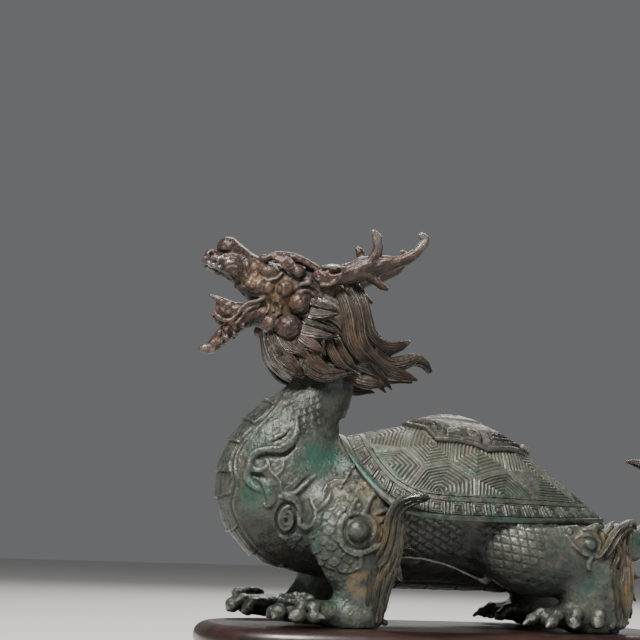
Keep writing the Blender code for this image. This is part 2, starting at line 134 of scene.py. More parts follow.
@dataclass
class Skin:
    """A closed surface: its points, its quads and its triangles, and what is known of each point."""

    points: Array
    quads: Array = field(default_factory=lambda: np.zeros((0, 4), int))
    tris: Array = field(default_factory=lambda: np.zeros((0, 3), int))
    marks: dict[str, Array] = field(default_factory=dict)

    def normals(self) -> Array:
        """Unit normals at the points: the sum of the normals of the faces round each.

        Returns:
            A unit vector for each point.
        """
        total = np.zeros_like(self.points)
        for faces in (self.quads, self.tris):
            if not len(faces):
                continue
            corners = self.points[faces]
            last = 3 if faces.shape[1] == 4 else 0
            face = np.cross(corners[:, 2] - corners[:, 0], corners[:, last] - corners[:, 1])
            for corner in faces.T:
                for axis in range(3):
                    total[:, axis] += np.bincount(corner, face[:, axis], len(self.points))
        return total / (np.linalg.norm(total, axis=1)[:, None] + 1e-12)

    def edges(self) -> Array:
        """Pairs of points that share a side of a face.

        Returns:
            Two point numbers for each edge.
        """
        pairs = [
            np.stack([faces, np.roll(faces, -1, 1)], -1).reshape(-1, 2) for faces in (self.quads, self.tris)
        ]
        return np.vstack(pairs)

    def averaged(self, values: Array, rounds: int = 1) -> Array:
        """Each point's value eased toward its neighbours' mean, a number of rounds over.

        Args:
            values: A number or a vector for each point.
            rounds: How many rounds.

        Returns:
            The eased values, in the same shape.
        """
        one, two = self.edges().T
        near = np.maximum(np.bincount(np.concatenate([one, two]), minlength=len(self.points)), 1)
        columns = values.reshape(len(self.points), -1).copy()
        for _ in range(rounds):
            for column in columns.T:
                total = np.bincount(one, column[two], len(column)) + np.bincount(
                    two, column[one], len(column)
                )
                column += 0.6 * (total / near - column)
        return columns.reshape(values.shape)

    def relieved(self, height: Array) -> None:
        """Moves each point out along its normal by its height."""
        self.points = self.points + self.normals() * height[:, None]

    def mark(self, **marks: Array) -> None:
        """Sets marks by name, each a number for every point."""
        self.marks.update(marks)

    def facing_out(self) -> "Skin":
        """Turns every face round if the closed skin is inside out (its signed volume is negative).

        Returns:
            This skin.
        """
        corners = self.points[self.quads[:, :3]] if len(self.quads) else self.points[self.tris]
        middle = self.points.mean(0)
        one, two, three = (corners[:, k] - middle for k in range(3))
        volume = np.einsum("ij,ij->i", np.cross(one, two), three).sum()
        if volume < 0:
            self.quads = self.quads[:, ::-1]
            self.tris = self.tris[:, ::-1]
        return self

    def largest(self) -> "Skin":
        """Drops every loose body but the largest, found by passing the lowest label along the edges.

        Returns:
            This skin, with that body alone.
        """
        one, two = self.edges().T
        label = np.arange(len(self.points))
        while True:
            least = np.minimum(label[one], label[two])
            fresh = label.copy()
            np.minimum.at(fresh, one, least)
            np.minimum.at(fresh, two, least)
            fresh = fresh[fresh]
            if (fresh == label).all():
                break
            label = fresh
        keep = label == np.bincount(label).argmax()
        index = np.cumsum(keep) - 1
        self.quads = index[self.quads[keep[self.quads].all(1)]]
        self.tris = index[self.tris[keep[self.tris].all(1)]]
        self.points = self.points[keep]
        self.marks = {name: values[keep] for name, values in self.marks.items()}
        return self

    def placed(self, name: str, node: str, slot: str, finish: bpy.types.Material, most: int) -> None:
        """Makes the finished piece, in metres above the floor, and files it with the frame.

        Args:
            name: The piece's name.
            node: The CAD node it stands for.
            slot: The record's material slot; it is not used.
            finish: Its material.
            most: The most triangles it may keep. Flat parts are thinned first.
        """
        mesh = bpy.data.meshes.new(name)
        counts = [4] * len(self.quads) + [3] * len(self.tris)
        loops = np.concatenate([self.quads.ravel(), self.tris.ravel()]).astype(np.int32)
        mesh.vertices.add(len(self.points))
        mesh.vertices.foreach_set("co", ((self.points + (0, 0, PLINTH_TOP)) * MM).astype(np.float32).ravel())
        mesh.loops.add(len(loops))
        mesh.loops.foreach_set("vertex_index", loops)
        mesh.polygons.add(len(counts))
        mesh.polygons.foreach_set(
            "loop_start", np.concatenate([[0], np.cumsum(counts)[:-1]]).astype(np.int32)
        )
        mesh.update(calc_edges=True)
        mesh.validate()
        mesh.shade_smooth()
        for mark, values in self.marks.items():
            kind, key = ("FLOAT_VECTOR", "vector") if values.ndim == 2 else ("FLOAT", "value")
            mesh.attributes.new(mark, kind, "POINT").data.foreach_set(key, values.astype(np.float32).ravel())
        mesh.materials.append(finish)
        piece = bpy.data.objects.new(name, mesh)
        bpy.context.scene.collection.objects.link(piece)
        made = 2 * len(self.quads) + len(self.tris)
        if made > most:
            thinning = piece.modifiers.new("thinning", "DECIMATE")
            thinning.ratio = most / made
            thinned = piece.evaluated_get(bpy.context.evaluated_depsgraph_get())
            piece.data = bpy.data.meshes.new_from_object(thinned)
            piece.modifiers.clear()
            bpy.data.meshes.remove(mesh)
            piece.data.name = name
        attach(piece, "root")
        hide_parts(node)
        left = sum(len(face.vertices) - 2 for face in piece.data.polygons)
        LOG.info("%s: %d triangles, made from %d", name, left, made)


def joined(skins: Sequence[Skin]) -> Skin:
    """One skin that holds all of these side by side. A mark that one lacks is 0 there.

    Args:
        skins: The skins, in the order they are added.

    Returns:
        The one skin.
    """
    starts = np.cumsum([0] + [len(skin.points) for skin in skins])
    names = {name: values.shape[1:] for skin in skins for name, values in skin.marks.items()}
    marks = {}
    for name, shape in names.items():
        marks[name] = np.concatenate([
            skin.marks.get(name, np.zeros((len(skin.points), *shape))) for skin in skins
        ])
    return Skin(
        np.vstack([skin.points for skin in skins]),
        np.vstack([skin.quads + start for skin, start in zip(skins, starts)]),
        np.vstack([skin.tris + start for skin, start in zip(skins, starts)]), marks,
    )


def lofted(rings: Array) -> Skin:
    """A closed skin over rings of points, each end closed by a fan to its middle.

    Args:
        rings: Points by ring and by place round the ring.

    Returns:
        The skin, facing out.
    """
    count, round_ = rings.shape[:2]
    grid = np.arange(count * round_).reshape(count, round_)
    turned = np.roll(grid, -1, 1)
    quads = np.stack([grid[:-1], turned[:-1], turned[1:], grid[1:]], -1).reshape(-1, 4)
    hubs = np.stack([rings[0].mean(0), rings[-1].mean(0)])
    low, high = count * round_, count * round_ + 1
    first = np.stack([turned[0], grid[0], np.full(round_, low)], -1)
    last = np.stack([grid[-1], turned[-1], np.full(round_, high)], -1)
    return Skin(np.vstack([rings.reshape(-1, 3), hubs]), quads, np.vstack([first, last])).facing_out()


@dataclass(frozen=True)
class Lock:
    """A tapering lock: a section carried along stations like those of Clay.limb, combed into strands."""

    stations: Stations
    strands: int = 7
    depth: float = 0.16
    sides: int = 40
    per_span: int = 7
    hair: float = 1.0

    def skin(self) -> Skin:
        """The lock's skin: an oval section whose radius waves with the angle, once for each strand.

        Returns:
            The closed skin, with its place round and along the lock marked for the combing.
        """
        rows = eased(self.stations, self.per_span)
        centre, half = rows[:, :3], np.maximum(rows[:, [3, -1]], 0.12)
        along, across, deep = frames_along(centre)
        cap = np.radians([80, 60, 40, 20])
        reach = np.concatenate([
            -np.sin(cap) * half[0].min(), np.zeros(len(rows)), np.sin(cap[::-1]) * half[-1].min()
        ])
        shrink = np.concatenate([np.cos(cap), np.ones(len(rows)), np.cos(cap[::-1])])
        at = np.concatenate([np.zeros(4, int), np.arange(len(rows)), np.full(4, len(rows) - 1)])
        turn = np.linspace(0, 2 * np.pi, self.sides, endpoint=False)
        share = at / (len(rows) - 1)
        down = share[:, None]
        drift = 0.9 * np.sin(2 * turn) + 0.5 * np.sin(3 * turn + 5 * down)
        wave = (np.abs(np.sin(self.strands * turn / 2 + drift)) - 0.6) * (1 + 0.45 * np.sin(5 * turn + 2.3))
        wave += 0.3 * np.sin(max(self.strands // 4, 2) * turn + 1.5 + 1.3 * down)
        fade = smooth(down, 0.0, 0.08) * (1 - 0.4 * smooth(down, 0.8, 1.0))
        radius = shrink[:, None] * (1 + self.depth * wave * fade)
        wide = np.cos(turn) * radius * half[at, :1]
        thick = np.sin(turn) * radius * half[at, 1:]
        start = centre[at] + along[at] * reach[:, None]
        rings = start[:, None] + wide[..., None] * across[at][:, None] + thick[..., None] * deep[at][:, None]
        skin = lofted(rings)
        ring = np.stack(np.broadcast_arrays(np.cos(turn), np.sin(turn), down), -1)
        skin.marks["comb"] = np.vstack([ring.reshape(-1, 3), [[1, 0, 0], [1, 0, 1]]])
        skin.marks["hair"] = np.full(len(skin.points), self.hair)
        return skin


# ---------------------------------------------------------------- clay


def melded(one: Array, two: Array, ease: float) -> Array:
    """The union of two distances with a fillet: the lesser, less ease*h*(1-h) where they are near."""
    share = np.clip(0.5 + 0.5 * (two - one) / ease, 0.0, 1.0)
    return two + (one - two) * share - ease * share * (1 - share)


@dataclass
class Clay:
    """A block of clay on an even grid. It holds the distance to the skin, negative inside."""

    low: tuple[float, float, float]
    high: tuple[float, float, float]
    grain: float
    solid: Array = field(init=False)
    axes: list[Array] = field(init=False)

    def __post_init__(self) -> None:
        """Lays out the empty grid."""
        counts = np.ceil(np.subtract(self.high, self.low) / self.grain).astype(int) + 1
        self.axes = [start + self.grain * np.arange(count) for start, count in zip(self.low, counts)]
        self.solid = np.full(counts, FAR_OFF, np.float32)

    def window(self, low: Array, high: Array) -> tuple[tuple[slice, ...], list[Array]]:
        """The part of the grid inside a box.

        Args:
            low: The box's lowest corner.
            high: Its highest corner.

        Returns:
            The slices of the grid, and the open X, Y and Z coordinates in them.
        """
        cuts = []
        for axis, start, end in zip(self.axes, low, high):
            first = int(np.clip(np.searchsorted(axis, start) - 1, 0, len(axis) - 1))
            cuts.append(slice(first, int(np.clip(np.searchsorted(axis, end) + 1, first + 1, len(axis)))))
        open_axes = [axis[cut].astype(np.float32) for axis, cut in zip(self.axes, cuts)]
        return tuple(cuts), [
            open_axes[0][:, None, None], open_axes[1][None, :, None], open_axes[2][None, None, :]
        ]

    def press(self, cut: tuple[slice, ...], tool: Array, ease: float, carve: bool) -> None:
        """Adds a form to the clay, or carves it out, with a fillet."""
        held = self.solid[cut]
        self.solid[cut] = -melded(-held, tool, ease) if carve else melded(held, tool, ease)

    def limb(self, stations: Stations, ease: float = 1.5, per_span: int = 3, carve: bool = False) -> None:
        """A tapering limb with an oval section: the least of its spans' distances.

        The distance to an oval is taken as n*(n-1)/g, where n is the length of the offset measured in
        half widths and g that of the offset over the squared half widths.

        Args:
            stations: x, y, z, half width across, and half depth where that differs.
            ease: The width of the fillet where it meets the clay.
            per_span: Rows of the eased curve for each span.
            carve: Whether it is cut out of the clay.
        """
        rows = eased(stations, per_span)
        centre, half = rows[:, :3], np.maximum(rows[:, [3, -1]], 0.2)
        _, across, deep = frames_along(centre)
        margin = half.max() + ease + 2 * self.grain
        cut, coordinates = self.window(centre.min(0) - margin, centre.max(0) + margin)
        tool = np.full(self.solid[cut].shape, FAR_OFF, np.float32)
        for i in range(len(rows) - 1):
            low, high = np.minimum(centre[i], centre[i + 1]), np.maximum(centre[i], centre[i + 1])
            edge = half[i : i + 2].max() + ease + 2 * self.grain
            part, axes = self.window(low - edge, high + edge)
            local = tuple(slice(p.start - c.start, p.stop - c.start) for p, c in zip(part, cut))
            offset = [axis - np.float32(origin) for axis, origin in zip(axes, centre[i])]
            span = centre[i + 1] - centre[i]
            length = float(np.linalg.norm(span)) + 1e-9
            way = span / length
            share = np.clip(sum(o * np.float32(w) for o, w in zip(offset, way)) / length, 0.0, 1.0)
            rest = [o - np.float32(w * length) * share for o, w in zip(offset, way)]
            side, depth = across[i] + across[i + 1], deep[i] + deep[i + 1]
            side, depth = side / np.linalg.norm(side), depth / np.linalg.norm(depth)
            wide = half[i, 0] + (half[i + 1, 0] - half[i, 0]) * share
            thick = half[i, 1] + (half[i + 1, 1] - half[i, 1]) * share
            least = np.minimum(wide, thick)
            parts = [(side, wide), (depth, thick), (way, least)]
            scaled = [
                (sum(r * np.float32(v) for r, v in zip(rest, axis)) / size, size) for axis, size in parts
            ]
            n = np.sqrt(sum(value**2 for value, _ in scaled))
            g = np.sqrt(sum((value / size) ** 2 for value, size in scaled)) + 1e-6
            tool[local] = np.minimum(tool[local], n * (n - 1) / g)
        self.press(cut, tool, ease, carve)

    def ball(
        self, centre: Station, half: Station, pitch: float = 0.0, ease: float = 1.0, carve: bool = False
    ) -> None:
        """An ellipsoid, pitched about Y by so many degrees, nose down when positive.

        Args:
            centre: Its middle.
            half: Its half lengths along X, Y and Z.
            pitch: Its turn in degrees.
            ease: Width of the blend with what is there.
            carve: Whether it is cut away rather than added.
        """
        margin = max(half) + ease + 2 * self.grain
        cut, (x, y, z) = self.window(np.subtract(centre, margin), np.add(centre, margin))
        x, y, z = x - centre[0], y - centre[1], z - centre[2]
        c, s = math.cos(math.radians(pitch)), math.sin(math.radians(pitch))
        turned = [(c * x - s * z) / half[0], y / half[1], (s * x + c * z) / half[2]]
        n = np.sqrt(sum(value**2 for value in turned))
        g = np.sqrt(sum((value / size) ** 2 for value, size in zip(turned, half))) + 1e-6
        self.press(cut, (n * (n - 1) / g).astype(np.float32), ease, carve)

    def skin_y(self, x: Array, z: Array, side: Side) -> Array:
        """The Y of the skin on one side, where a line along Y first meets the clay from outside.

        Args:
            x: X of each line.
            z: Z of each line.
            side: The side it comes from.

        Returns:
            The Y of each meeting, or 0 where it misses.
        """
        i = np.clip(np.rint((x - self.low[0]) / self.grain).astype(int), 0, len(self.axes[0]) - 1)
        k = np.clip(np.rint((z - self.low[2]) / self.grain).astype(int), 0, len(self.axes[2]) - 1)
        lines = self.solid[i, :, k]
        reach = self.axes[1]
        if side is Side.FAR:
            lines, reach = lines[:, ::-1], reach[::-1]
        first = np.maximum((lines < 0).argmax(1), 1)
        rows = np.arange(len(x))
        out, inside = lines[rows, first - 1], lines[rows, first]
        share = np.clip(out / np.maximum(out - inside, 1e-6), 0, 1)
        found = reach[first - 1] + (reach[first] - reach[first - 1]) * share
        return np.where((lines < 0).any(1), found, 0.0)

    def trace(
        self, path: Stations, side: Side, ease: float = 0.7, carve: bool = False, per_span: int = 4
    ) -> None:
        """Lays a thin round roll along the skin, or cuts a groove along it.

        Args:
            path: x, z, the roll's half width in the side view, and its height where that differs.
            side: The side of the beast.
            ease: The fillet.
            carve: Whether it is a groove.
            per_span: Rows of the eased curve for each span.
        """
        rows = eased(path, per_span)
        y = self.skin_y(rows[:, 0], rows[:, 1], side)
        y = np.convolve(np.pad(y, 2, mode="edge"), np.ones(5) / 5, "valid")
        stations = np.stack([rows[:, 0], y, rows[:, 1], rows[:, -1], rows[:, 2]], 1)
        self.limb(stations, ease, 1, carve)

    def stud(self, x: float, z: float, half: float, side: Side, ease: float = 0.4) -> None:
        """A round stud that stands on the skin at a place in the side view."""
        y = float(self.skin_y(np.array([x]), np.array([z]), side)[0])
        self.ball((x, y, z), (half, half, half), ease=ease)

    def trim(self, keep: Callable[[Array, Array, Array], Array]) -> None:
        """Keeps only the clay where a function of x, y and z is negative."""
        x, y, z = np.meshgrid(*[axis.astype(np.float32) for axis in self.axes], indexing="ij", sparse=True)
        self.solid = np.maximum(self.solid, keep(x, y, z).astype(np.float32))

    def crowding(self, points: Array, reach: float) -> Array:
        """How much clay surrounds each point, 0 to 1: half on a flat skin, more in a hollow.

        Args:
            points: Points to look round.
            reach: Half the width of the cube that is looked at.

        Returns:
            The share of the cube that is clay.
        """
        blur = (self.solid < 0).astype(np.float32)
        steps = max(int(round(reach / self.grain)), 1)
        for axis in range(3):
            padded = np.pad(
                blur, [(steps + 1, steps) if k == axis else (0, 0) for k in range(3)], mode="edge"
            )
            total = np.cumsum(padded, axis=axis, dtype=np.float64)
            upper = np.take(total, range(2 * steps + 1, total.shape[axis]), axis)
            lower = np.take(total, range(0, total.shape[axis] - 2 * steps - 1), axis)
            blur = ((upper - lower) / (2 * steps + 1)).astype(np.float32)
        index = np.rint((points - self.low) / self.grain).astype(int)
        index = np.clip(index, 0, np.array(blur.shape) - 1)
        return blur[tuple(index.T)]

    def cast(self) -> Skin:
        """The skin of the clay, at distance 0 on the grid, eased a little.

        Returns:
            The largest closed skin, with the crowding round each point marked.
        """
        block = np.pad(self.solid, 1, constant_values=FAR_OFF)
        grid = openvdb.FloatGrid(FAR_OFF)
        grid.copyFromArray(np.ascontiguousarray(np.clip(block, -FAR_OFF, FAR_OFF)))
        points, quads = grid.convertToQuads(0.0)
        skin = Skin(
            (points.astype(float) - 1) * self.grain + self.low, quads.astype(int)
        ).facing_out().largest()
        skin.points = skin.averaged(skin.points, 2)
        # Crowding marks: both darken hollows and recesses with painted shade, the wide one as shade cast by
        # the surrounding forms.
        skin.mark(hollow=self.crowding(skin.points, 2.2) - 0.5, shade=self.crowding(skin.points, 7.0) - 0.5)
        return skin


# ---------------------------------------------------------------- relief


def within(x: Array, z: Array, patch: Station, soft: float = 0.35) -> Array:
    """1 inside an oval patch (middle x, z and half sizes) and 0 outside, eased over a share of its size."""
    middle_x, middle_z, half_x, half_z = patch
    return 1 - smooth(np.hypot((x - middle_x) / half_x, (z - middle_z) / half_z), 1 - soft, 1.0)


def patches(x: Array, z: Array, *ovals: Station) -> Array:
    """The sum of oval patches, each given as its weight, middle x and z, half sizes, and softness."""
    return sum(weight * within(x, z, oval, soft) for weight, *oval, soft in ovals)


def scales(down: Array, across: Array, pitch: float, width: float, round_: float = 0.75) -> Array:
    """Overlapping scales that point along `down`: each rises to its rounded free edge and drops to the next.

    Every row is a pitch below the one above and half a scale over. A scale covers a point while the point is
    above its free edge, which is an arc: v < 1 + round*(sqrt(1 - u^2) - 1), with u across it and v down it.

    Args:
        down: Distance along the way the scales point.
        across: Distance across it.
        pitch: Distance between rows.
        width: Width of a scale.
        round_: How round its free edge is, 0 to 1.

    Returns:
        A height from 0 to 1.
    """
    row = np.floor(down / pitch)
    height = np.zeros_like(down)
    taken = np.zeros(down.shape, bool)
    for back in (1, 0):
        this = row - back
        v = (down / pitch - this) / 1.75
        u = 2 * ((across / width + 0.5 * (this % 2)) % 1.0) - 1
        free = 1 + round_ * (np.sqrt(np.clip(1 - u**2, 0, 1)) - 1)
        on = (v < free) & ~taken
        crown = 0.35 + 0.65 * np.clip(v / np.maximum(free, 0.05), 0, 1) ** 1.5 - 0.35 * u**2
        height = np.where(on, crown, height)
        taken |= on
    return np.where(taken, height, 0.2)


def bricks(one: Array, two: Array, long_: float, tall: float, seam: float) -> Array:
    """Pillowed blocks in courses, each course half a block over: 1 on a block's middle and 0 in the seams.

    Args:
        one: Distance along the courses.
        two: Distance across the courses.
        long_: Length of a block.
        tall: Height of a course.
        seam: Width over which a block rises from its seam.

    Returns:
        The height at each point.
    """
    course = np.floor(two / tall)
    u = np.abs((one / long_ + 0.5 * (course % 2)) % 1.0 - 0.5) * 2
    v = np.abs(two / tall - course - 0.5) * 2
    edge = np.minimum((1 - u) * long_, (1 - v) * tall) / 2
    return smooth(edge, 0.0, seam)


WAYS = np.array([
    (0.91, 0.33, 0.27), (-0.41, 0.83, 0.37), (0.22, -0.51, 0.83), (-0.71, -0.32, 0.63), (0.55, 0.62, -0.56),
    (0.13, 0.97, 0.21),
])


def ruffled(points: Array, size: float, turn: float = 0.0) -> Array:
    """A soft uneven wave over space, from -1 to 1: the mean of sines that run in six directions.

    Args:
        points: The points, in millimetres.
        size: Length of the longest wave.
        turn: Where the waves start, in radians.

    Returns:
        The wave's value at each point.
    """
    total = np.zeros(len(points))
    for k, way in enumerate(WAYS):
        total += np.sin(points @ way * (2 * np.pi / size) * (1 + 0.17 * k) + turn + 1.9 * k)
    return total / 3.4


def uneven(points: Array, *waves: Station) -> Array:
    """The sum of ruffled surfaces, each given as its height, its size and its turn."""
    return sum(high * ruffled(points, *rest) for high, *rest in waves)


def along_path(x: Array, z: Array, path: Array | Stations) -> tuple[Array, Array]:
    """Where each point lies beside a path in the side view.

    Args:
        x: X of the points.
        z: Z of the points.
        path: x and z of the path's points.

    Returns:
        The distance along the path to the nearest place on it, and the signed distance from it, positive to
        the left of its way.
    """
    best, at, off = np.full(x.shape, 1e9), np.zeros(x.shape), np.zeros(x.shape)
    walked = 0.0
    for (ax, az), (bx, bz) in zip(path[:-1], path[1:]):
        dx, dz = bx - ax, bz - az
        length = math.hypot(dx, dz)
        share = np.clip(((x - ax) * dx + (z - az) * dz) / length**2, 0, 1)
        gap = np.hypot(x - ax - share * dx, z - az - share * dz)
        side = np.sign(dx * (z - az) - dz * (x - ax))
        near = gap < best
        best, at = np.where(near, gap, best), np.where(near, walked + share * length, at)
        off = np.where(near, gap * side, off)
        walked += length
    return at, off


def spiral(
    middle: Corner, radii: Corner, turns: float, first: float, roll: Corner, squash: float = 1.0
) -> list[Station]:
    """A flat spiral for Clay.trace: its radius goes evenly from the first to the last.

    Args:
        middle: x and z of its middle.
        radii: Its first and last radius.
        turns: Turns it makes.
        first: The angle it starts at, in degrees from +X toward +Z.
        roll: The roll's radius at the start and at the end.
        squash: Its width over its height.

    Returns:
        x, z and roll radius along it.
    """
    share = np.linspace(0, 1, max(int(abs(turns) * 12), 4))
    angle = np.radians(first) + share * turns * 2 * math.pi
    radius = radii[0] + (radii[1] - radii[0]) * share
    thick = roll[0] + (roll[1] - roll[0]) * share
    return list(zip(middle[0] + squash * radius * np.cos(angle), middle[1] + radius * np.sin(angle), thick))


def patina_marks(skin: Skin, grain: float) -> None:
    """Marks the hollows that hold dust and painted shade, and the high edges that are rubbed bright and carry
    painted highlights, from the skin's curvature.

    The curvature is how far a point stands out from its neighbours along the normal, over the grain.

    Args:
        skin: The skin to mark, once its relief is done.
        grain: Its point spacing.
    """
    normals = skin.normals()
    stand = np.einsum("ij,ij->i", skin.points - skin.averaged(skin.points, 2), normals) / grain
    fine, broad = skin.averaged(stand, 2), skin.averaged(stand, 10)
    # The concave mark darkens hollows with painted shade as well as dust; the convex mark is rubbed metal
    # with painted highlights.
    skin.mark(wear_and_highlight=np.clip(fine * 5 + broad * 7, 0, 1), dust=np.clip(-fine * 5 - broad * 9, 0, 1))


# ---------------------------------------------------------------- the head


@dataclass(frozen=True)
class Head:
    """Skull, snout, brows, cheek bulbs and the dropped lower jaw, modelled in clay."""

    grain: float = 0.48
    low: tuple[float, float, float] = (-122.0, -26.0, 124.0)
    high: tuple[float, float, float] = (-44.0, 26.0, 189.0)

    def skull(self, clay: Clay) -> None:
        """The skull and snout, the jaw with its curled chin, and the tongue.

        Args:
            clay: The clay that takes the forms.
        """
        skull = [
            (-48, 0, 156, 13), (-60, 0, 158, 15.5, 15), (-74, 0, 158.5, 15.5), (-86, 0, 162, 12.5),
            (-96, 0, 168, 9.5, 8.6), (-106, 0, 172.5, 8, 5.6), (-113, 0, 174.2, 7, 3.8),
            (-117.5, 0, 175, 5, 2),
        ]
        clay.limb(skull, 1.5, 5)
        jaw = [
            (-80, 0, 147.5, 13, 9.5), (-92, 0, 148.5, 9, 6), (-101, 0, 144.8, 6.8, 4.6),
            (-109, 0, 137.6, 5.4, 3.9), (-114.5, 0, 131.4, 4.4, 3), (-119.5, 0, 130.2, 3.2, 2),
        ]
        clay.limb(jaw, 2.0, 5)
        clay.limb([
            (-92, 0, 150.5, 5, 3.6), (-100, 0, 150.6, 4.4, 3.2), (-106, 0, 151.8, 3.6, 2.6),
            (-112, 0, 154.6, 2.6, 1.8), (-116.6, 0, 156.8, 0.8, 0.7),
        ], 1.5, 5)
        clay.limb([
            (-111.6, 0, 151.6, 2, 3), (-108, 0, 149.4, 3.2, 4), (-102, 0, 148.4, 4.6), (-95, 0, 149, 6, 4)
        ], 1.6, 4)
        clay.limb([(-111.5, 0, 153.5, 1.6, 1.2), (-111.5, 0, 149, 1.5, 1.2), (-112, 0, 144, 2, 1.6)], 1.2, 4)
        clay.ball((-108.6, 0, 181.0), (5.6, 6.6, 5.6), ease=2.2)
        clay.ball((-104.6, 0, 178.2), (4.4, 6.8, 3.6), ease=2.0)
        clay.limb([(-103.5, 0, 180, 4, 3), (-99, 0, 176, 4.5, 4), (-93.5, 0, 171.5, 5)], 2.5)

    def snout(self, clay: Clay, side: Side) -> None:
        """One side of the snout: nostril wing, lip scroll, and the rolled lips.

        Args:
            clay: The clay that takes the forms.
            side: The side of the beast.
        """
        clay.ball((-106, side.value * 6.0, 171.0), (6.2, 3.8, 4.6), 18, 1.2)
        clay.trace([
            (-114.5, 178.6, 0.7), (-111, 177.7, 0.8), (-107, 177.4, 0.8), (-103, 178, 0.6)
        ], side, 0.8, True)
        wing = [
            (-114.2, 173.2, 0.8), (-110, 176, 1.1), (-105, 176.4, 1.3), (-101, 174, 1.2), (-99.6, 170, 1.2),
            (-99.8, 165.6, 1.1), (-102, 162.4, 0.8),
        ]
        clay.trace(wing, side, 0.9)
        for fold in (
            [(-114, 172, 0.6), (-110.6, 173.8, 0.8), (-107, 174.6, 0.8), (-103.6, 173.6, 0.5)],
            [(-112.6, 170.8, 0.6), (-109, 172, 0.8), (-105.6, 172.2, 0.8), (-102.2, 170.6, 0.5)],
            [(-109.6, 169.4, 0.5), (-106.8, 169.8, 0.7), (-104, 169.2, 0.7), (-101.6, 167.4, 0.4)],
            [(-106.4, 167.6, 0.5), (-103.8, 166.6, 0.6), (-101.6, 164.8, 0.4)],
        ):
            clay.trace(fold, side, 0.6)
        clay.ball((-117.4, side.value * 3.6, 176.2), (3.1, 2.6, 3.0), ease=1.0)
        clay.ball((-117.2, side.value * 6.4, 176.4), (1.3, 2.2, 1.3), ease=0.8, carve=True)
        for x, z, half in (
            (-120.2, 174.2, 1.3), (-118.2, 171.9, 1.5), (-115.6, 170.6, 1.5), (-112.8, 169.3, 1.6),
            (-109.6, 168.4, 1.4),
        ):
            clay.ball((x, side.value * (4.0 if x < -119 else 5.8), z), (half, half, half * 0.9), ease=0.8)
        lip = [
            (-107.5, 166.6, 0.9), (-104.5, 164.4, 1.1), (-101, 161.6, 1.2), (-97.2, 159.2, 1.2),
            (-93.3, 158.4, 1.2), (-89.6, 157.7, 1.2), (-85.6, 155.6, 1.2), (-83.2, 151.6, 1.2),
            (-84, 147.2, 1.1), (-87.2, 145.4, 0.8),
        ]
        clay.trace(lip, side, 0.6)
        under = [(x + 0.9, z - 2.2, roll * 0.75) for x, z, roll in lip[1:7]]
        clay.trace(under, side, 0.5)
        clay.trace([
            (-100.5, 166, 0.7), (-96.5, 163.5, 0.9), (-92.5, 163.6, 0.8), (-90.5, 165, 0.5)
        ], side, 0.8)
        clay.ball((-97.5, side.value * 8.2, 161.5), (3.4, 2.4, 2.2), 24, 1.0)

    def jaw(self, clay: Clay, side: Side) -> None:
        """One side of the jaw: the rope-like curl of the lower lip, and the lumpy beard on the chin.

        Args:
            clay: The clay that takes the forms.
            side: The side of the beast.
        """
        y = side.value
        curl = [
            (-114.6, 4, 147.6, 0.9), (-112.4, 5, 145.4, 1.1), (-109, 5.8, 143.8, 1.2),
            (-105.8, 6.4, 144.2, 1.2), (-103.4, 7, 147.4, 1.1, 1.2), (-100.6, 7.8, 150.8, 1.1, 1.2),
            (-96, 8.8, 153.2, 1.1, 1.2), (-91.4, 10.4, 154.6, 1),
        ]
        clay.limb(mirrored(curl, side), 1.0)
        inner = [(x + 2.2, b, z - 1.6, r * 0.8) for x, b, z, r, *_ in curl[2:7]]
        clay.limb(mirrored(inner, side), 0.6)
        lumps = [
            (-113.2, 3.4, 141, 1.7), (-111.6, 4.4, 137.6, 1.9), (-108.4, 5, 139.6, 1.6),
            (-108, 4.6, 135.4, 1.8), (-111, 3.6, 133.2, 1.8), (-114, 3.4, 133, 1.6),
            (-104.4, 5.4, 140.4, 1.7), (-104.2, 4.8, 137.4, 1.6), (-114.4, 2.8, 129.6, 1.7),
            (-117.6, 2.2, 130.6, 1.5), (-100.4, 6, 142, 1.6),
        ]
        for x, b, z, half in lumps:
            clay.ball((x, y * b, z), (half * 0.95, half * 0.9, half * 0.75), 24, 1.1)
        clay.trace([(-112.6, 142.8, 0.5), (-110.4, 139.4, 0.6), (-110.6, 135.6, 0.5)], side, 0.4, True)
        clay.trace([(-107.2, 141.2, 0.5), (-105.8, 138, 0.6), (-107, 134, 0.4)], side, 0.4, True)

    def cheeks(self, clay: Clay, side: Side) -> None:
        """One side's eye, brow, cheek bulbs and crescents.

        Args:
            clay: The clay that takes the forms.
            side: The side of the beast.
        """
        y = side.value
        clay.ball((-88.7, y * 10.2, 168.2), (6.0, 3.2, 4.6), 10, 1.2, carve=True)
        clay.ball((-88.7, y * 9.8, 168.0), (5.1, 4.4, 4.0), 8, 0.5)
        clay.limb(mirrored([
            (-94.2, 8.6, 165.6, 1.1, 1), (-90.2, 12.4, 163.6, 1.2, 1), (-85.6, 13.4, 164.6, 1.2, 1),
            (-83.2, 12.8, 167.4, 1, 0.9),
        ], side), 0.7)
        bulbs = [
            ((-89.2, 12.0, 159.9), 2.9), ((-93.6, 10.0, 161.2), 2.2), ((-81.3, 14.2, 159.6), 4.2),
            ((-74.6, 16.2, 152.0), 5.4), ((-88.2, 12.6, 142.2), 4.4), ((-79.2, 15.4, 140.4), 6.6),
            ((-75.6, 13.8, 168.4), 3.8), ((-70.8, 15.6, 163.8), 2.6),
        ]
        for (x, b, z), half in bulbs:
            clay.ball((x, y * b, z), (half, half * 0.95, half), ease=0.9)
        clay.ball((-92.3, y * 6.4, 175.4), (2.2, 2.2, 2.0), ease=0.8)
        clay.limb(mirrored([
            (-93, 6, 173.5, 2, 1.6), (-88, 8.4, 176.4, 2.2, 2), (-81, 9.4, 177, 2.4, 2.2),
            (-73.5, 10.6, 174.8, 2.6, 2.2), (-66, 11.5, 171, 2.2, 2),
        ], side), 1.2)
        for k in range(4):
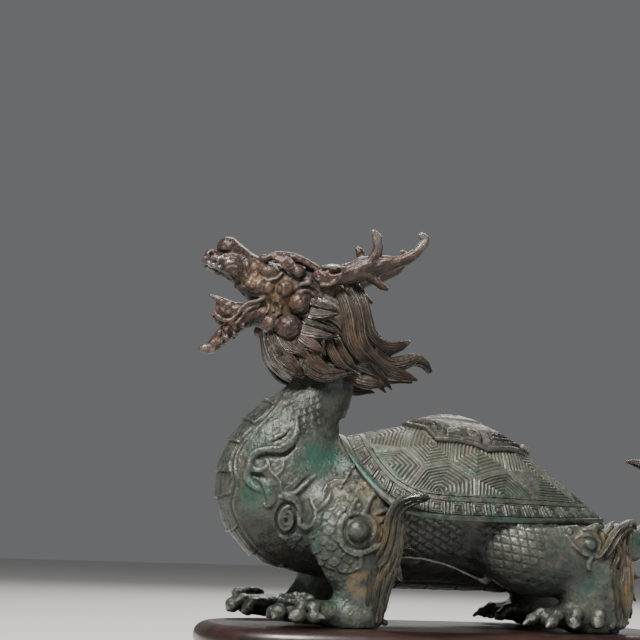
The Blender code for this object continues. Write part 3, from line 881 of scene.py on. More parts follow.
            leaf = [
                (-88.8 + 1.5 * k, 9.6 + 0.6 * k, 175.8 + 0.3 * k, 0.7),
                (-84.8 + 1.6 * k, 12.4 + 0.5 * k, 173.6 + 0.4 * k, 1.0),
                (-81.4 + 1.4 * k, 13.6 + 0.4 * k, 169.8 + 0.5 * k, 0.9),
                (-79.6 + 0.9 * k, 13.6 + 0.3 * k, 166.6 + 0.6 * k, 0.6),
            ]
            clay.limb(mirrored(leaf, side), 0.4)
        arcs = [
            [(-77.6, 158.4, 0.9), (-75.4, 161, 1.2), (-71.2, 162.6, 1.4), (-67, 161, 1.3), (-64.2, 157, 1),
             (-63.8, 153, 0.6)],
            [(-75.4, 157.4, 0.8), (-71.4, 159.2, 1.1), (-67.8, 157.6, 1.2), (-66, 153.6, 1),
             (-66.4, 149.5, 0.6)],
            [(-70.6, 156, 0.5), (-69, 154.2, 0.8), (-68.6, 151, 0.5)],
        ]
        for arc in arcs:
            clay.trace(arc, side, 0.6)
        clay.trace([
            (-86.6, 163.2, 0.7), (-84.6, 160.6, 0.8), (-84, 157.6, 0.8), (-81.8, 154.2, 0.8),
            (-79.4, 152.4, 0.7),
        ], side, 0.5, True)
        for knot in (
            [(-91.4, 155.4, 0.8), (-89.2, 153.4, 1.1), (-88.6, 150.2, 1.1), (-90, 147.6, 0.8)],
            [(-87.2, 154.4, 0.7), (-85.8, 151.6, 0.9), (-86.2, 148.8, 0.8)],
        ):
            clay.trace(knot, side, 0.5)

    def ear(self, clay: Clay, side: Side) -> None:
        """One ear: a scroll at its root, and a pointed leaf with a bright upper rim round a dark hollow.

        Args:
            clay: The clay that takes the forms.
            side: The side of the beast.
        """
        y = side.value
        leaf = [
            (-66, 14, 165.4, 2.2, 4.8), (-62, 17, 165.8, 2.2, 4.6), (-58, 19.2, 167.2, 1.8, 3.2),
            (-54.4, 21, 169.2, 0.9, 1),
        ]
        clay.limb(mirrored(leaf, side), 1.0, 5)
        clay.ball((-58.8, y * 21.2, 168.4), (3.6, 2.6, 1.3), -4, 0.5, carve=True)
        rim = [
            (-64.4, 18, 170.8, 0.9, 1), (-60, 20.6, 171, 1, 1.1), (-56.4, 21.4, 170.8, 0.9, 1),
            (-53.4, 21.4, 170.2, 0.6),
        ]
        clay.limb(mirrored(rim, side), 0.5)
        fold = [
            (-54, 21.2, 169, 0.6), (-56.6, 20.4, 165, 0.9), (-60.6, 19, 162, 1), (-64.4, 17.4, 161.8, 0.8)
        ]
        clay.limb(mirrored(fold, side), 0.6)
        clay.trace(spiral((-65.6, 167.0), (0.5, 2.4), 1.5, 90, (0.5, 0.75)), side, 0.3, per_span=2)

    def skin(self) -> Skin:
        """The head's finished skin, with its fine relief and its marks.

        Returns:
            The closed skin.
        """
        clay = Clay(self.low, self.high, self.grain)
        self.skull(clay)
        for side in Side:
            self.snout(clay, side)
            self.jaw(clay, side)
            self.cheeks(clay, side)
            self.ear(clay, side)
        skin = clay.cast()
        skin.relieved(uneven(skin.points, (0.18, 4.4), (0.09, 2.1, 2.0), (0.05, 1.1, 1.0)))
        patina_marks(skin, self.grain)
        x, y, z = skin.points.T
        # The wear mark is raised on the nose top and the chin: partly rubbed metal, partly a painted
        # highlight.
        bright = patches(x, z, (1, -113, 172.4, 8, 3.4, 0.4), (0.5, -117, 131, 6, 4, 0.6))
        ear = within(x, z, (-58.8, 171.2, 6, 1.2), 0.3) * smooth(np.abs(y), 16, 18)
        skin.mark(
            wear_and_highlight=np.clip((0.3 + 0.6 * bright) * skin.marks["wear_and_highlight"] + ear, 0, 1), red=1 - 0.5 * ear,
            rust=patches(x, z, (0.6, -84, 156, 14, 14, 0.9), (0.4, -97, 166, 9, 9, 0.9)),
            # Painted shade on the faces turned down.
            dark=0.8 * painted_underside_shade(skin),
        )
        return skin


# ---------------------------------------------------------------- mane, collar and antlers


@dataclass(frozen=True)
class Mane:
    """The swept hair behind the head, and the collar of hair round the top of the neck."""

    core_sides: int = 150

    def core(self) -> list[Lock]:
        """The mass that the locks lie on, combed from the head down to the neck.

        Returns:
            The mass and the collar under the locks.
        """
        mass = [(-64, 0, 152, 17, 16), (-54, 0, 146, 17.6, 14), (-46, 0, 136, 15, 10), (-38, 0, 129, 10, 5)]
        collar = [
            (-71, 0, 144, 12.5), (-70, 0, 138, 16.4, 16.8), (-69, 0, 134, 17, 17.6),
            (-66, 0, 126.6, 16.4, 15), (-63.5, 0, 122.4, 13.4, 10),
        ]
        return [Lock(mass, 36, 0.03, self.core_sides, 9), Lock(collar, 40, 0.03, self.core_sides, 9)]

    def middle(self) -> list[Lock]:
        """The broad locks on the middle line, with tips that turn up and over behind.

        Returns:
            The locks.
        """
        return [
            Lock([
                (-46, 0, 152, 11, 8), (-38.5, 0, 143, 9.4, 4.6), (-31, 0, 137, 7, 3.2),
                (-24, 0, 135.6, 5, 2.8), (-18, 0, 138, 3.2, 1.6),
            ], 26, 0.07, 120, 9),
            Lock([
                (-40, 0, 135, 11, 6), (-30, 0, 128.6, 8, 3.4), (-22, 0, 127.4, 5.6, 3.2),
                (-14.5, 0, 130, 4, 2.8), (-8.4, 0, 128.8, 2.6, 1.8), (-4.8, 0, 124.6, 1, 0.8),
            ], 24, 0.07, 110, 9),
            Lock([
                (-40, 0, 129, 11, 5), (-27, 0, 123, 7.6, 3.2), (-13.4, 0, 120.4, 1.6, 1)
            ], 22, 0.07, 100, 12),
        ]

    def sheets(self) -> list[Stations]:
        """The broad locks on one side that flow from the ear down and back, the first the lowest layer.

        Returns:
            Each lock's stations.
        """
        return [
            [(-48, 13, 118.6, 1.6, 1.8), (-43.4, 14.4, 116.6, 2.3, 3), (-39.4, 15, 115.8, 2.4, 3.3),
             (-35.3, 14.5, 115.4, 1.9, 2.2), (-30.1, 13.5, 114.4, 0.5, 0.4)],
            [(-40.1, 12, 129.1, 1.8, 1.9), (-35.4, 9.8, 123.8, 2.2), (-30.9, 8.2, 119.8, 2, 1.9),
             (-28, 7.2, 116.6, 1.2), (-25.8, 6.6, 114, 0.5, 0.4)],
            [(-35.3, 8, 132.9, 2.4), (-29.7, 6.4, 128.5, 2.6, 2.9), (-24.2, 5.2, 127, 2.8, 3.4),
             (-18.5, 4.4, 128.4, 2.6, 3.4), (-12.8, 3.6, 130.3, 2.2, 2.7), (-8, 3, 128.6, 1.8, 1.7),
             (-4.7, 2.5, 124.5, 0.7)],
            [(-50.3, 11, 161.6, 2.6, 3.4), (-46.7, 14, 153.8, 2.8, 3.6), (-44.6, 14.5, 145.4, 3, 3.6),
             (-43.3, 14, 137.6, 3, 3.6), (-39.2, 12, 131.2, 2.8, 3.4), (-32.5, 9.8, 125.9, 2.6, 2.7),
             (-24.8, 7.8, 122.1, 2.6, 3.2), (-18.4, 6.2, 121.1, 2, 2.2), (-13, 5, 119.5, 0.8)],
            [(-45.2, 8, 163.5, 2.8, 2.9), (-42.6, 11, 155.5, 3, 3.4), (-40.4, 11.5, 147.1, 3.2, 3.4),
             (-38.1, 10.5, 140.4, 3.2, 3.4), (-33, 8.5, 136, 3, 3.1), (-26.9, 6.5, 134.9, 2.6, 2.9),
             (-21.5, 5, 136.1, 2.2, 2.3), (-17.2, 4, 138.3, 1.2)],
            [(-55.2, 13, 160.9, 2.4, 3.4), (-52.5, 16, 153.1, 2.6, 3.6), (-50.4, 17, 144.7, 2.8, 3.6),
             (-49.2, 16.8, 136.9, 2.8, 3.6), (-46.3, 15.6, 131.4, 2.7, 3.6), (-41.8, 13.8, 127.9, 2, 2.4),
             (-37.3, 12, 126, 0.8)],
            [(-46.8, 6, 165.8, 1.6, 1.5), (-43.6, 8, 160.5, 1.3, 1.2), (-41.2, 9, 157, 0.9, 0.8),
             (-38.7, 9.5, 153.8, 0.4, 0.3)],
        ]

    def hem(self) -> list[Stations]:
        """The collar's locks on one side: they fall from the cheek and sweep back to one long tip.

        Returns:
            Each lock's stations.
        """
        return [
            [(-82.6, 8, 142, 5, 5.4), (-80.6, 9, 134, 5, 5.4), (-76, 11.6, 127.4, 5, 4.6),
             (-68, 14.6, 122.6, 4), (-58, 15.4, 121.6, 3, 2.6)],
            [(-86.8, 2.6, 140.6, 5.4, 3.6), (-86.4, 3, 133.1, 5.8, 3.5), (-84.2, 4.6, 127, 5.6, 3.2),
             (-80, 8.4, 122.6, 4.6, 2.4), (-75.6, 13, 119.6, 3, 1.6), (-71, 16.4, 117.4, 1, 0.7)],
            [(-88.2, 7, 139.6, 2, 2.2), (-87.3, 8.6, 133.1, 2.2, 2), (-85.2, 11.2, 127, 2.4, 1.9),
             (-81.6, 14.4, 122, 2.4, 1.7), (-77.4, 16.6, 118.7, 2, 1.6), (-72, 17.8, 116.2, 0.8, 0.6)],
            [(-86.8, 11, 135.4, 2, 2.4), (-85.5, 12.6, 129.3, 2.2, 2.4), (-81.7, 15, 123.9, 2.4),
             (-77.4, 17, 120.1, 1.9, 1.7), (-73.1, 18.2, 117.3, 0.8, 0.6)],
            [(-81.8, 14.8, 130.8, 1.8, 1.9), (-78.5, 16.6, 125.9, 1.9, 2.2), (-75.1, 18, 121.6, 1.6, 1.7),
             (-72.9, 18.6, 117.7, 0.7, 0.5)],
            [(-55.2, 16.6, 135.6, 1.8, 1.7), (-53.2, 17.4, 130.2, 2, 2.1), (-50.1, 17.4, 125.9, 1.9, 2),
             (-46.9, 16.8, 122.7, 1.3, 1.1), (-43.2, 15.6, 120.4, 0.5, 0.4)],
            [(-60.2, 17.4, 135.2, 1.8, 2.1), (-58.3, 18.4, 129.3, 2, 2.4), (-55.3, 18.6, 125, 2, 2.3),
             (-51.6, 18.2, 122.1, 1.5), (-46.4, 17, 120.3, 0.6, 0.4)],
            [(-67.5, 17.8, 128.8, 1.8, 1.9), (-64.6, 19, 124, 2), (-60.7, 19.4, 120.7, 1.9, 1.8),
             (-55.2, 19, 119.8, 1.5, 1.2), (-49, 17.6, 120.3, 0.6, 0.4)],
            [(-72.3, 17.4, 129.6, 1.8, 1.9), (-69.5, 18.8, 124.2, 2, 2.2), (-65.1, 19.4, 120.5, 2.1, 2),
             (-59.1, 19.2, 118.9, 2, 1.7), (-51.1, 18, 119.7, 0.8, 0.6)],
            [(-73.1, 16.6, 128.7, 1.9, 1.7), (-72, 18.2, 122.7, 2.2, 1.9), (-68.3, 19, 118.2, 2.3, 1.9),
             (-63, 19.2, 116.3, 2.3, 2), (-56.5, 18.6, 117.2, 2.1, 1.7), (-50.5, 17.6, 119, 1.5, 1),
             (-45.4, 16.8, 120.2, 0.6, 0.4)],
        ]

    def leaves(self) -> list[Stations]:
        """The pointed leaves of hair over the collar on one side, lowest layer first.

        Returns:
            Each lock's stations.
        """
        return [
            [(-87.4, 11.4, 139.4, 1.7, 2.6), (-85.6, 13.4, 133.2, 1.8, 2.6), (-84, 15.2, 129.2, 1.5, 1.8),
             (-82.5, 16.4, 125.2, 0.5, 0.4)],
            [(-81.9, 14.6, 136.3, 1.7, 3), (-78.7, 16.8, 131.5, 1.9, 3.1), (-75, 18.8, 128.8, 1.7, 2.2),
             (-72.6, 19.6, 126.6, 1.2), (-70.6, 19.9, 124.7, 0.5, 0.4)],
            [(-76.8, 17.2, 132.9, 1.6, 2.4), (-73.6, 18.9, 130.1, 1.5, 1.9), (-71.7, 19.6, 128, 0.8)],
            [(-73.9, 16.8, 136.5, 1.8, 3.6), (-70.2, 18.8, 133.2, 2, 3.6), (-66.5, 20.2, 130.8, 1.8, 2.6),
             (-64.1, 20.9, 129.1, 1.3, 1.5), (-62, 21.1, 127.3, 0.5, 0.4)],
            [(-63.3, 19.8, 135.1, 1.3, 1), (-62.9, 20.9, 132.1, 1.1, 0.8), (-62, 21.2, 127.7, 0.4, 0.3)],
            [(-72.6, 17.4, 138.8, 1.8, 3.6), (-67.5, 19.4, 137.6, 2, 3.6), (-62.8, 20.6, 136.7, 1.7, 2.4),
             (-58.9, 21, 136.5, 1.2, 1.4), (-56, 21.2, 136.6, 0.5, 0.4)],
            [(-71.4, 18.4, 143.4, 1.6), (-66.7, 20.2, 141.6, 1.6), (-62, 21.4, 140.2, 1.4),
             (-58.6, 21.8, 139.1, 1.1), (-56.1, 21.8, 136.9, 0.5, 0.4)],
            [(-68.5, 17.6, 147.7, 1.8, 3.2), (-64.4, 19.4, 147, 1.8, 3), (-60.1, 20.6, 147.2, 1.5, 2),
             (-56.3, 21, 147.6, 0.6)],
            [(-68.6, 18, 153, 1.6, 1.9), (-64.4, 19.8, 151.3, 1.5, 1.8), (-60.2, 21.2, 150.1, 1.3, 1.4),
             (-56.2, 21.8, 148.7, 0.6, 0.5)],
        ]

    def skin(self) -> Skin:
        """All the hair of the head as one piece.

        Returns:
            The skins of its locks side by side.
        """
        locks = self.core() + self.middle()
        for side in Side:
            locks += [Lock(mirrored(path, side), 21, 0.12, 104, 7) for path in self.sheets()]
            locks += [Lock(mirrored(path, side), 12, 0.17, 64, 7) for path in self.hem()]
            locks += [Lock(mirrored(path, side), 10, 0.12, 56, 6) for path in self.leaves()]
        skin = joined([lock.skin() for lock in locks])
        skin.relieved(0.08 * ruffled(skin.points, 3.2))
        patina_marks(skin, 0.8)
        x, _, z = skin.points.T
        # Painted highlights on the tips of the locks, strongest at the front of the mane, laid into the wear
        # mark.
        front = 0.35 + 0.65 * within(x, z, (-58, 142, 8, 9), 0.5)
        tips = front * smooth(skin.marks["comb"][:, 2], 0.86, 0.98)
        skin.mark(
            wear_and_highlight=np.clip(0.8 * skin.marks["wear_and_highlight"] + 0.8 * tips, 0, 1),
            red=0.74 + 0.26 * ruffled(skin.points, 9.0), pale=0.12 * smooth(skin.normals()[:, 2], -0.4, 0.5),
            rust=patches(x, z, (0.45, -50, 140, 9, 18, 0.9), (0.2, -66, 126, 16, 8, 0.9)),
            # Painted shade on the faces turned down.
            dark=0.5 * painted_underside_shade(skin),
        )
        return skin


@dataclass(frozen=True)
class Antlers:
    """The pair of branched antlers."""

    def side_locks(self, side: Side) -> list[Lock]:
        """The beam with its knobbed tip, the tine up and the short tine down.

        Args:
            side: The side of the beast.

        Returns:
            The antler's branches as locks.
        """
        beam = [
            (-60, 8.6, 166.4, 4.6, 5.4), (-50, 12.5, 169, 4.6, 5.6), (-42, 15.2, 172, 4.4, 6.2),
            (-34, 17.2, 174.2, 3.4, 4.6), (-27, 18.8, 175.4, 2.8, 3.1), (-20, 20, 178.6, 2.5, 2.6),
            (-15.4, 20.6, 183.6, 2.1, 2.3), (-13.4, 20.6, 187.2, 1.9, 2.1), (-15.2, 20.4, 189.2, 1.5, 1.6),
        ]
        up_tine = [
            (-40, 16.2, 173, 3.6, 4.4), (-37.4, 17.6, 179, 2.6, 3), (-36.9, 18.8, 184, 2.1, 2.4),
            (-38, 19.6, 187.6, 2, 2.4), (-39.4, 19.8, 189.4, 1.2, 1.4),
        ]
        low_tine = [
            (-43, 15.4, 170.6, 2.8, 3.6), (-38.6, 16.8, 167, 2.2, 2.6), (-35, 17.6, 163.6, 1.6, 1.8),
            (-31.6, 18.2, 161.6, 0.8, 0.9),
        ]
        shapes = [(beam, 9, 0.014, 64, 9), (up_tine, 7, 0.014, 48, 8), (low_tine, 7, 0.014, 40, 8)]
        return [Lock(mirrored(path, side), *sizes, hair=0.1) for path, *sizes in shapes]

    def skin(self) -> Skin:
        """Both antlers as one piece.

        Returns:
            The skins of their branches side by side.
        """
        skin = joined([lock.skin() for side in Side for lock in self.side_locks(side)])
        skin.relieved(uneven(skin.points, (0.26, 7.0), (0.05, 2.6, 1.0)))
        patina_marks(skin, 0.9)
        _, y, z = skin.points.T
        tip = smooth(np.abs(y), 18.5, 20.5) * smooth(z, 176, 186)
        skin.mark(
            wear_and_highlight=np.clip(0.45 * skin.marks["wear_and_highlight"] + 0.5 * tip, 0, 1), red=np.ones(len(y)),
            # Painted shade on the faces turned down.
            dark=0.8 * painted_underside_shade(skin),
        )
        return skin


# ---------------------------------------------------------------- the body


@dataclass(frozen=True)
class Paw:
    """A paw: toes of round knuckles, each ending in a hooked claw rubbed bright and given a painted glint.

    A toe is a row of knuckles (x, y, z, radius) from the palm out, and the tip of its claw comes last.
    """

    toes: tuple[Stations, ...]
    slide: float = 0.0

    def knuckles(self, side: Side) -> list[tuple[Array, float]]:
        """The middle and radius of every knuckle and claw tip."""
        return [(np.array([x - self.slide, side.value * y, z]), r) for toe in self.toes for x, y, z, r in toe]

    def press(self, clay: Clay, side: Side) -> None:
        """Adds the paw to the clay.

        Args:
            clay: The clay.
            side: The side of the beast; the toes are given for the far side.
        """
        for toe in self.toes:
            rows = [(x - self.slide, side.value * y, z, r) for x, y, z, r in toe]
            clay.limb([(x, y, z, 0.86 * r) for x, y, z, r in rows[:-1]], 1.2)
            (x, y, z, r), (tip_x, tip_y, tip_z, tip) = rows[-2:]
            bend = (0.45 * x + 0.55 * tip_x, 0.45 * y + 0.55 * tip_y, 0.5 * (z + tip_z) + 0.3)
            clay.limb([
                (x, y, z - 0.3, 0.66 * r, 0.62 * r), (*bend, 0.54 * r, 0.5 * r), (tip_x, tip_y, tip_z, tip)
            ], 0.3, 4)
            for x, y, z, r in rows[:-1]:
                clay.ball((x, y, z), (r * 1.1, r * 1.1, r), ease=0.3)

    def bright(self, points: Array, side: Side) -> Array:
        """How bright each point is rubbed and lit by a painted glint: 1 at the claws, less on the knuckles, 0
        off them.

        Args:
            points: The points, in millimetres.
            side: The side of the beast.

        Returns:
            A share from 0 to 1 for each point.
        """
        glow = np.zeros(len(points))
        for middle, radius in self.knuckles(side):
            claw = radius < 1.2
            first, last, most = (1.8, 3.4, 0.7) if claw else (radius, radius + 0.9, 0.15)
            near = 1 - smooth(np.linalg.norm(points - middle, axis=1), first, last)
            glow = np.maximum(glow, near * most)
        return glow

    def whorls(self, points: Array, side: Side) -> Array:
        """Rings engraved round the outer pole of each knuckle: a cosine of the distance from the pole.

        Args:
            points: The points, in millimetres.
            side: The side of the beast.

        Returns:
            The height at each point.
        """
        height = np.zeros(len(points))
        for middle, radius in self.knuckles(side):
            if radius < 2.0:
                continue
            pole = middle + np.array([-0.35, 0.8 * side.value, 0.35]) * radius
            off = np.linalg.norm(points - pole, axis=1)
            near = 1 - smooth(np.linalg.norm(points - middle, axis=1), radius + 0.2, radius + 0.9)
            height += 0.09 * np.cos(2 * np.pi * off / 1.7) * near
        return height


@dataclass(frozen=True)
class Forequarters:
    """One half of the neck, chest and shoulders, with its front leg and paw."""

    side: Side
    shell: "Shell"
    step: float
    grain: float = 0.5
    overlap: float = 0.8
    rear_cut: float = -25.0
    neck: tuple[Station, ...] = (
        (-57.8, 0, 128, 14, 14.8), (-58.9, 0, 112.9, 16, 14.8), (-67.5, 0, 97.2, 19.5, 18.4),
        (-75.4, 0, 81, 26, 26.4), (-76.2, 0, 64, 30, 33.2), (-66.8, 0, 53.1, 31, 28.7),
        (-52, 0, 48.5, 32, 25.5), (-34, 0, 50, 32, 27),
    )
    ledges: tuple[Station, ...] = (
        (-77.5, 114), (-87, 103.9), (-96.1, 94.7), (-103.7, 85.5), (-110.4, 71.3), (-110.7, 58),
        (-102.7, 42.3), (-91, 32), (-76, 26),
    )
    border: tuple[Station, ...] = (
        (-73, 115, 0.6), (-78.3, 109.9, 0.7), (-81.5, 104.6, 0.7), (-84.3, 100.7, 0.7), (-88.3, 96.2, 0.7),
        (-92.2, 92.1, 0.7), (-96, 88, 0.7), (-98.9, 84.3, 0.7), (-101.4, 79.7, 0.7), (-102.8, 75.5, 0.7),
        (-103, 71.4, 0.7), (-102, 65.8, 0.75), (-102.2, 60, 0.8), (-102.9, 55, 0.8), (-100.8, 48.9, 0.8),
        (-95.7, 40.7, 0.8), (-88.5, 33.6, 0.7), (-79, 28.5, 0.6),
    )

    def torso(self, clay: Clay) -> None:
        """The neck that swells into the chest, and the front of the barrel.

        Args:
            clay: The clay that takes the forms.
        """
        clay.limb(self.neck, 2.0, 5)
        clay.limb([
            (-62, 0, 57, 28, 31), (-40, 0, 55, 34, 36), (-20, 0, 56, 37, 38), (0, 0, 57, 38, 39)
        ], 4.0, 5)

    def leg(self, clay: Clay) -> None:
        """The shoulder, shin, heel and paw.

        Args:
            clay: The clay that takes the forms.
        """
        step = self.step
        leg = [
            (-50, 27, 56, 11, 20), (-49, 31.5, 43, 13, 20), (-48 - 0.2 * step, 34, 30, 11, 15.5),
            (-46.5 - 0.6 * step, 35, 18, 8.5, 11), (-47.5 - 0.9 * step, 35.5, 9, 8, 11.5),
            (-49 - step, 35.5, 2, 9, 13),
        ]
        clay.limb(mirrored(leg, self.side), 6.0, 5)
        instep = [
            (-45 - step, 35.5, 5, 8.5, 5.5), (-56 - step, 36, 6, 8, 5.5), (-67 - step, 37, 6.8, 8.5, 5.6),
            (-78 - step, 37, 7.2, 7.5, 4.6),
        ]
        clay.limb(mirrored(instep, self.side), 3.0, 5)
        self.paw().press(clay, self.side)
        for k in range(22):
            x, y = -83.0 + 0.66 * k, 42.6 - 1.9 * (k % 3) + 0.5 * math.sin(2.3 * k)
            z, half = 12.3 + 0.9 * math.sin(1.9 * k) + 0.6 * (k % 3), 1.5 + 0.3 * math.sin(3.1 * k)
            clay.ball((x - step, self.side.value * y, z), (half, half, half), ease=0.3)
        for k in range(9):
            x, y, z = -45.5 + 1.5 * k, 40.8 - 0.5 * k, 2.7 + 0.9 * (k % 2)
            clay.ball((x - step, self.side.value * y, z), (1.5, 1.5, 1.3), ease=0.4)

    def paw(self) -> Paw:
        """The front paw, its claws spread forward and out.

        Returns:
            The paw, shifted with its side's step.
        """
        return Paw(
            (((-70, 31, 8, 3.2), (-75, 29, 8.2, 2.8), (-77.6, 28.2, 4.8, 3), (-80.2, 27.4, 3.2, 0.9)),
             ((-74, 33, 9, 3.2), (-79.8, 32.4, 9.6, 2.8), (-84.4, 31.8, 6.2, 3.2), (-87.2, 31.2, 4.2, 0.9)),
             ((-74, 38, 9, 3.3), (-80.5, 40, 10.6, 2.8), (-83.4, 42, 6.6, 3.6), (-86.4, 43.6, 4.2, 0.9)),
             ((-70, 41, 9, 3.2), (-73.6, 44.6, 9.4, 2.7), (-75.6, 46.2, 5.6, 3.7), (-79.4, 48, 4.6, 0.9)),
             ((-64, 41, 8, 3), (-68.4, 45.4, 9.3, 2.7), (-68.4, 47.4, 5.2, 3), (-64.4, 49.6, 4.8, 0.9))),
            self.step,
        )

    def ornament(self, clay: Clay) -> None:
        """The cast scrollwork of chest and shoulder, and the ball in its ring.

        Args:
            clay: The clay that takes the forms.
        """
        side, y = self.side, self.side.value
        clay.trace(self.border, side, 0.4)
        clay.trace([(x + 1.7, z + 0.9, 0.45, 0.5) for x, z, _ in self.border[:11]], side, 0.3)
        clay.trace([(x + 0.9, z + 0.5, 0.4, 0.5) for x, z, _ in self.border[:11]], side, 0.2, True)
        scroll = [
            (-74.6, 95.6, 0.3, 0.4), (-75, 92, 1), (-75.6, 88.6, 1.5, 1.3), (-77.2, 85.2, 1.9, 1.5),
            (-80, 82.4, 2.1, 1.7), (-83, 80.6, 2.1, 1.7), (-86.9, 80.5, 1.9, 1.6), (-90.3, 80.3, 1.9, 1.7),
            (-93.3, 79.2, 2.1, 1.9), (-95.4, 77.2, 2.4, 2), (-96.6, 74.6, 2.4, 2), (-96.2, 72, 2.1, 1.9),
            (-94.2, 70.6, 1.8, 1.6), (-91.4, 70.8, 1.5, 1.3), (-89.1, 72.6, 1.2, 1.1), (-88.7, 74.9, 0.9),
            (-90.1, 75.9, 0.5, 0.6),
        ]
        clay.trace([(x + 0.6, z - 2.8, 1.1) for x, z, *_ in scroll[3:9]], side, 0.5, True)
        clay.trace(scroll, side, 0.4)
        clay.trace([
            (-87.2, 83.6, 0.5), (-84.6, 85, 0.8), (-81.6, 86.8, 0.8), (-79, 89.4, 0.3, 0.4)
        ], side, 0.3, True)
        clay.trace([
            (-87.6, 84.9, 0.4, 0.5), (-84.8, 86.4, 0.9, 0.8), (-81.4, 88.4, 0.8), (-78.8, 91.2, 0.3, 0.4)
        ], side, 0.3)
        clay.trace([
            (-95.6, 68.8, 0.8), (-92.5, 68.2, 1), (-89.4, 66.4, 0.9), (-86.6, 62.4, 0.5, 0.6)
        ], side, 0.3, True)
        clay.trace([
            (-97, 73, 1.6, 1.4), (-97.6, 68.9, 2.2, 1.7), (-96.6, 65.6, 2.2, 1.6), (-94.2, 62.9, 1.6, 1.2),
            (-90.9, 60.7, 0.4, 0.5),
        ], side, 0.4)
        crescent = [
            (-94, 66.8, 0.4, 0.5), (-90.6, 65.6, 1.8, 1.2), (-88, 62.4, 2.6, 1.5), (-86.6, 58.2, 2.7, 1.5),
            (-87.3, 54.8, 1.8, 1.3), (-89.6, 54.6, 0.8, 0.9), (-90, 56.6, 0.4, 0.5),
        ]
        clay.trace(crescent, side, 0.3)
        vee = [
            (-88.2, 74.5, 0.3, 0.4), (-87.6, 70.9, 0.8), (-85.2, 68.4, 1, 0.9), (-82.6, 70.5, 0.9, 0.8),
            (-81.5, 73.7, 0.8), (-81.9, 77.2, 0.3, 0.4),
        ]
        clay.trace(vee, side, 0.3)
        clay.trace([
            (-85.2, 68.2, 0.8), (-83.1, 65.5, 0.8), (-82.4, 61.6, 0.7), (-80.6, 58.4, 0.3, 0.4)
        ], side, 0.3)
        clay.trace([
            (-79.2, 61.4, 0.4, 0.5), (-75.9, 62.6, 0.7), (-72.4, 66, 0.8), (-68.6, 69.2, 0.4, 0.5)
        ], side, 0.3, True)
        clay.trace([
            (-78.8, 59.7, 0.4, 0.5), (-75.3, 60.7, 1), (-71.9, 64, 1.3, 1.2), (-68.6, 67.1, 1, 0.9),
            (-65.6, 69.2, 0.3, 0.4),
        ], side, 0.3)
        clay.trace([
            (-83.6, 58.2, 0.6, 0.5), (-79.6, 58.8, 2, 1.1), (-76, 56.9, 2.4, 1.2), (-73.9, 52.8, 2.3, 1.2),
            (-72.9, 48.4, 1.4, 0.9),
        ], side, 0.6)
        clay.trace(spiral((-79.2, 48.3), (7.4, 7.0), 1.0, 60, (0.9, 0.9), 0.66), side, 0.4, True, per_span=2)
        clay.trace(spiral((-79.2, 48.3), (5.8, 1.2), 2.1, 80, (1.2, 0.8), 0.6), side, 0.3, per_span=2)
        wave = [
            (-75.6, 53.4, 0.4, 0.5), (-73.9, 49.5, 1.2), (-73, 46.4, 1.5), (-70.4, 44.6, 1.6),
            (-67.9, 46.6, 1.5), (-66.9, 49.7, 1.3), (-67, 53.2, 1.2), (-68.3, 55.8, 0.9),
            (-69.3, 58.4, 0.3, 0.4),
        ]
        clay.trace(wave, side, 0.35)
        clay.trace([
            (-67.2, 52.2, 0.4, 0.5), (-64.2, 54.3, 1.6, 1.3), (-61.6, 56.8, 1.7, 1.4), (-60.4, 60, 1.1, 1),
            (-59.9, 63.6, 0.3, 0.4),
        ], side, 0.3)
        lip = [
            (-63.4, 60.4, 0.5), (-61.6, 64.2, 0.8), (-57.6, 66.9, 0.8), (-52.6, 67.4, 0.8),
            (-50.3, 70.6, 0.3, 0.4),
        ]
        clay.trace(lip, side, 0.3)
        clay.trace([(x + 0.9, z - 1.5, *size) for x, z, *size in lip], side, 0.3, True)
        clay.ball((-47.4, y * 42.0, 43.4), (9.6, 3.8, 9.2), ease=2.0)
        moat = [
            (-48.6 + 6.7 * math.cos(a), y * 46.3, 43.6 + 6.7 * math.sin(a), 1.2, 1.3)
            for a in np.linspace(0, 2 * math.pi, 25)
        ]
        clay.limb(moat, 0.5, 1, carve=True)
        clay.ball((-48.8, y * 45.2, 43.8), (5.3, 4.8, 5.3), ease=0.3)
        ring = [
            (-46.4, 50.8, 0.8, 0.9), (-50, 51.6, 1.5, 1.6), (-54, 49.8, 1.6, 1.7), (-56.6, 45.8, 1.6, 1.7),
            (-56.8, 41.2, 1.6, 1.7), (-55, 36.9, 1.6, 1.7), (-51, 34.3, 1.7, 1.8), (-46, 34.2, 1.7, 1.8),
            (-40.7, 36.5, 1.6), (-36.7, 40.1, 1.2), (-35.2, 45.3, 0.5, 0.6),
        ]
        clay.trace(ring, side, 0.4)
        clay.trace([
            (-49.5, 49, 0.4, 0.5), (-52.6, 47.9, 0.8, 0.9), (-54, 44.6, 0.8, 0.9), (-53.9, 41.2, 0.8, 0.9),
            (-52, 38.2, 0.8, 0.9), (-48.5, 36.9, 0.8, 0.9), (-44.8, 37.6, 0.4, 0.5),
        ], side, 0.3)
        inner = [
            (-46.9, 50.2, 0.5, 0.6), (-43.4, 50.2, 1), (-41.2, 47.4, 1.1), (-41, 43.8, 1.1), (-42.6, 40.4, 1),
            (-46, 38.4, 0.5, 0.6),
        ]
        clay.trace(inner, side, 0.4)
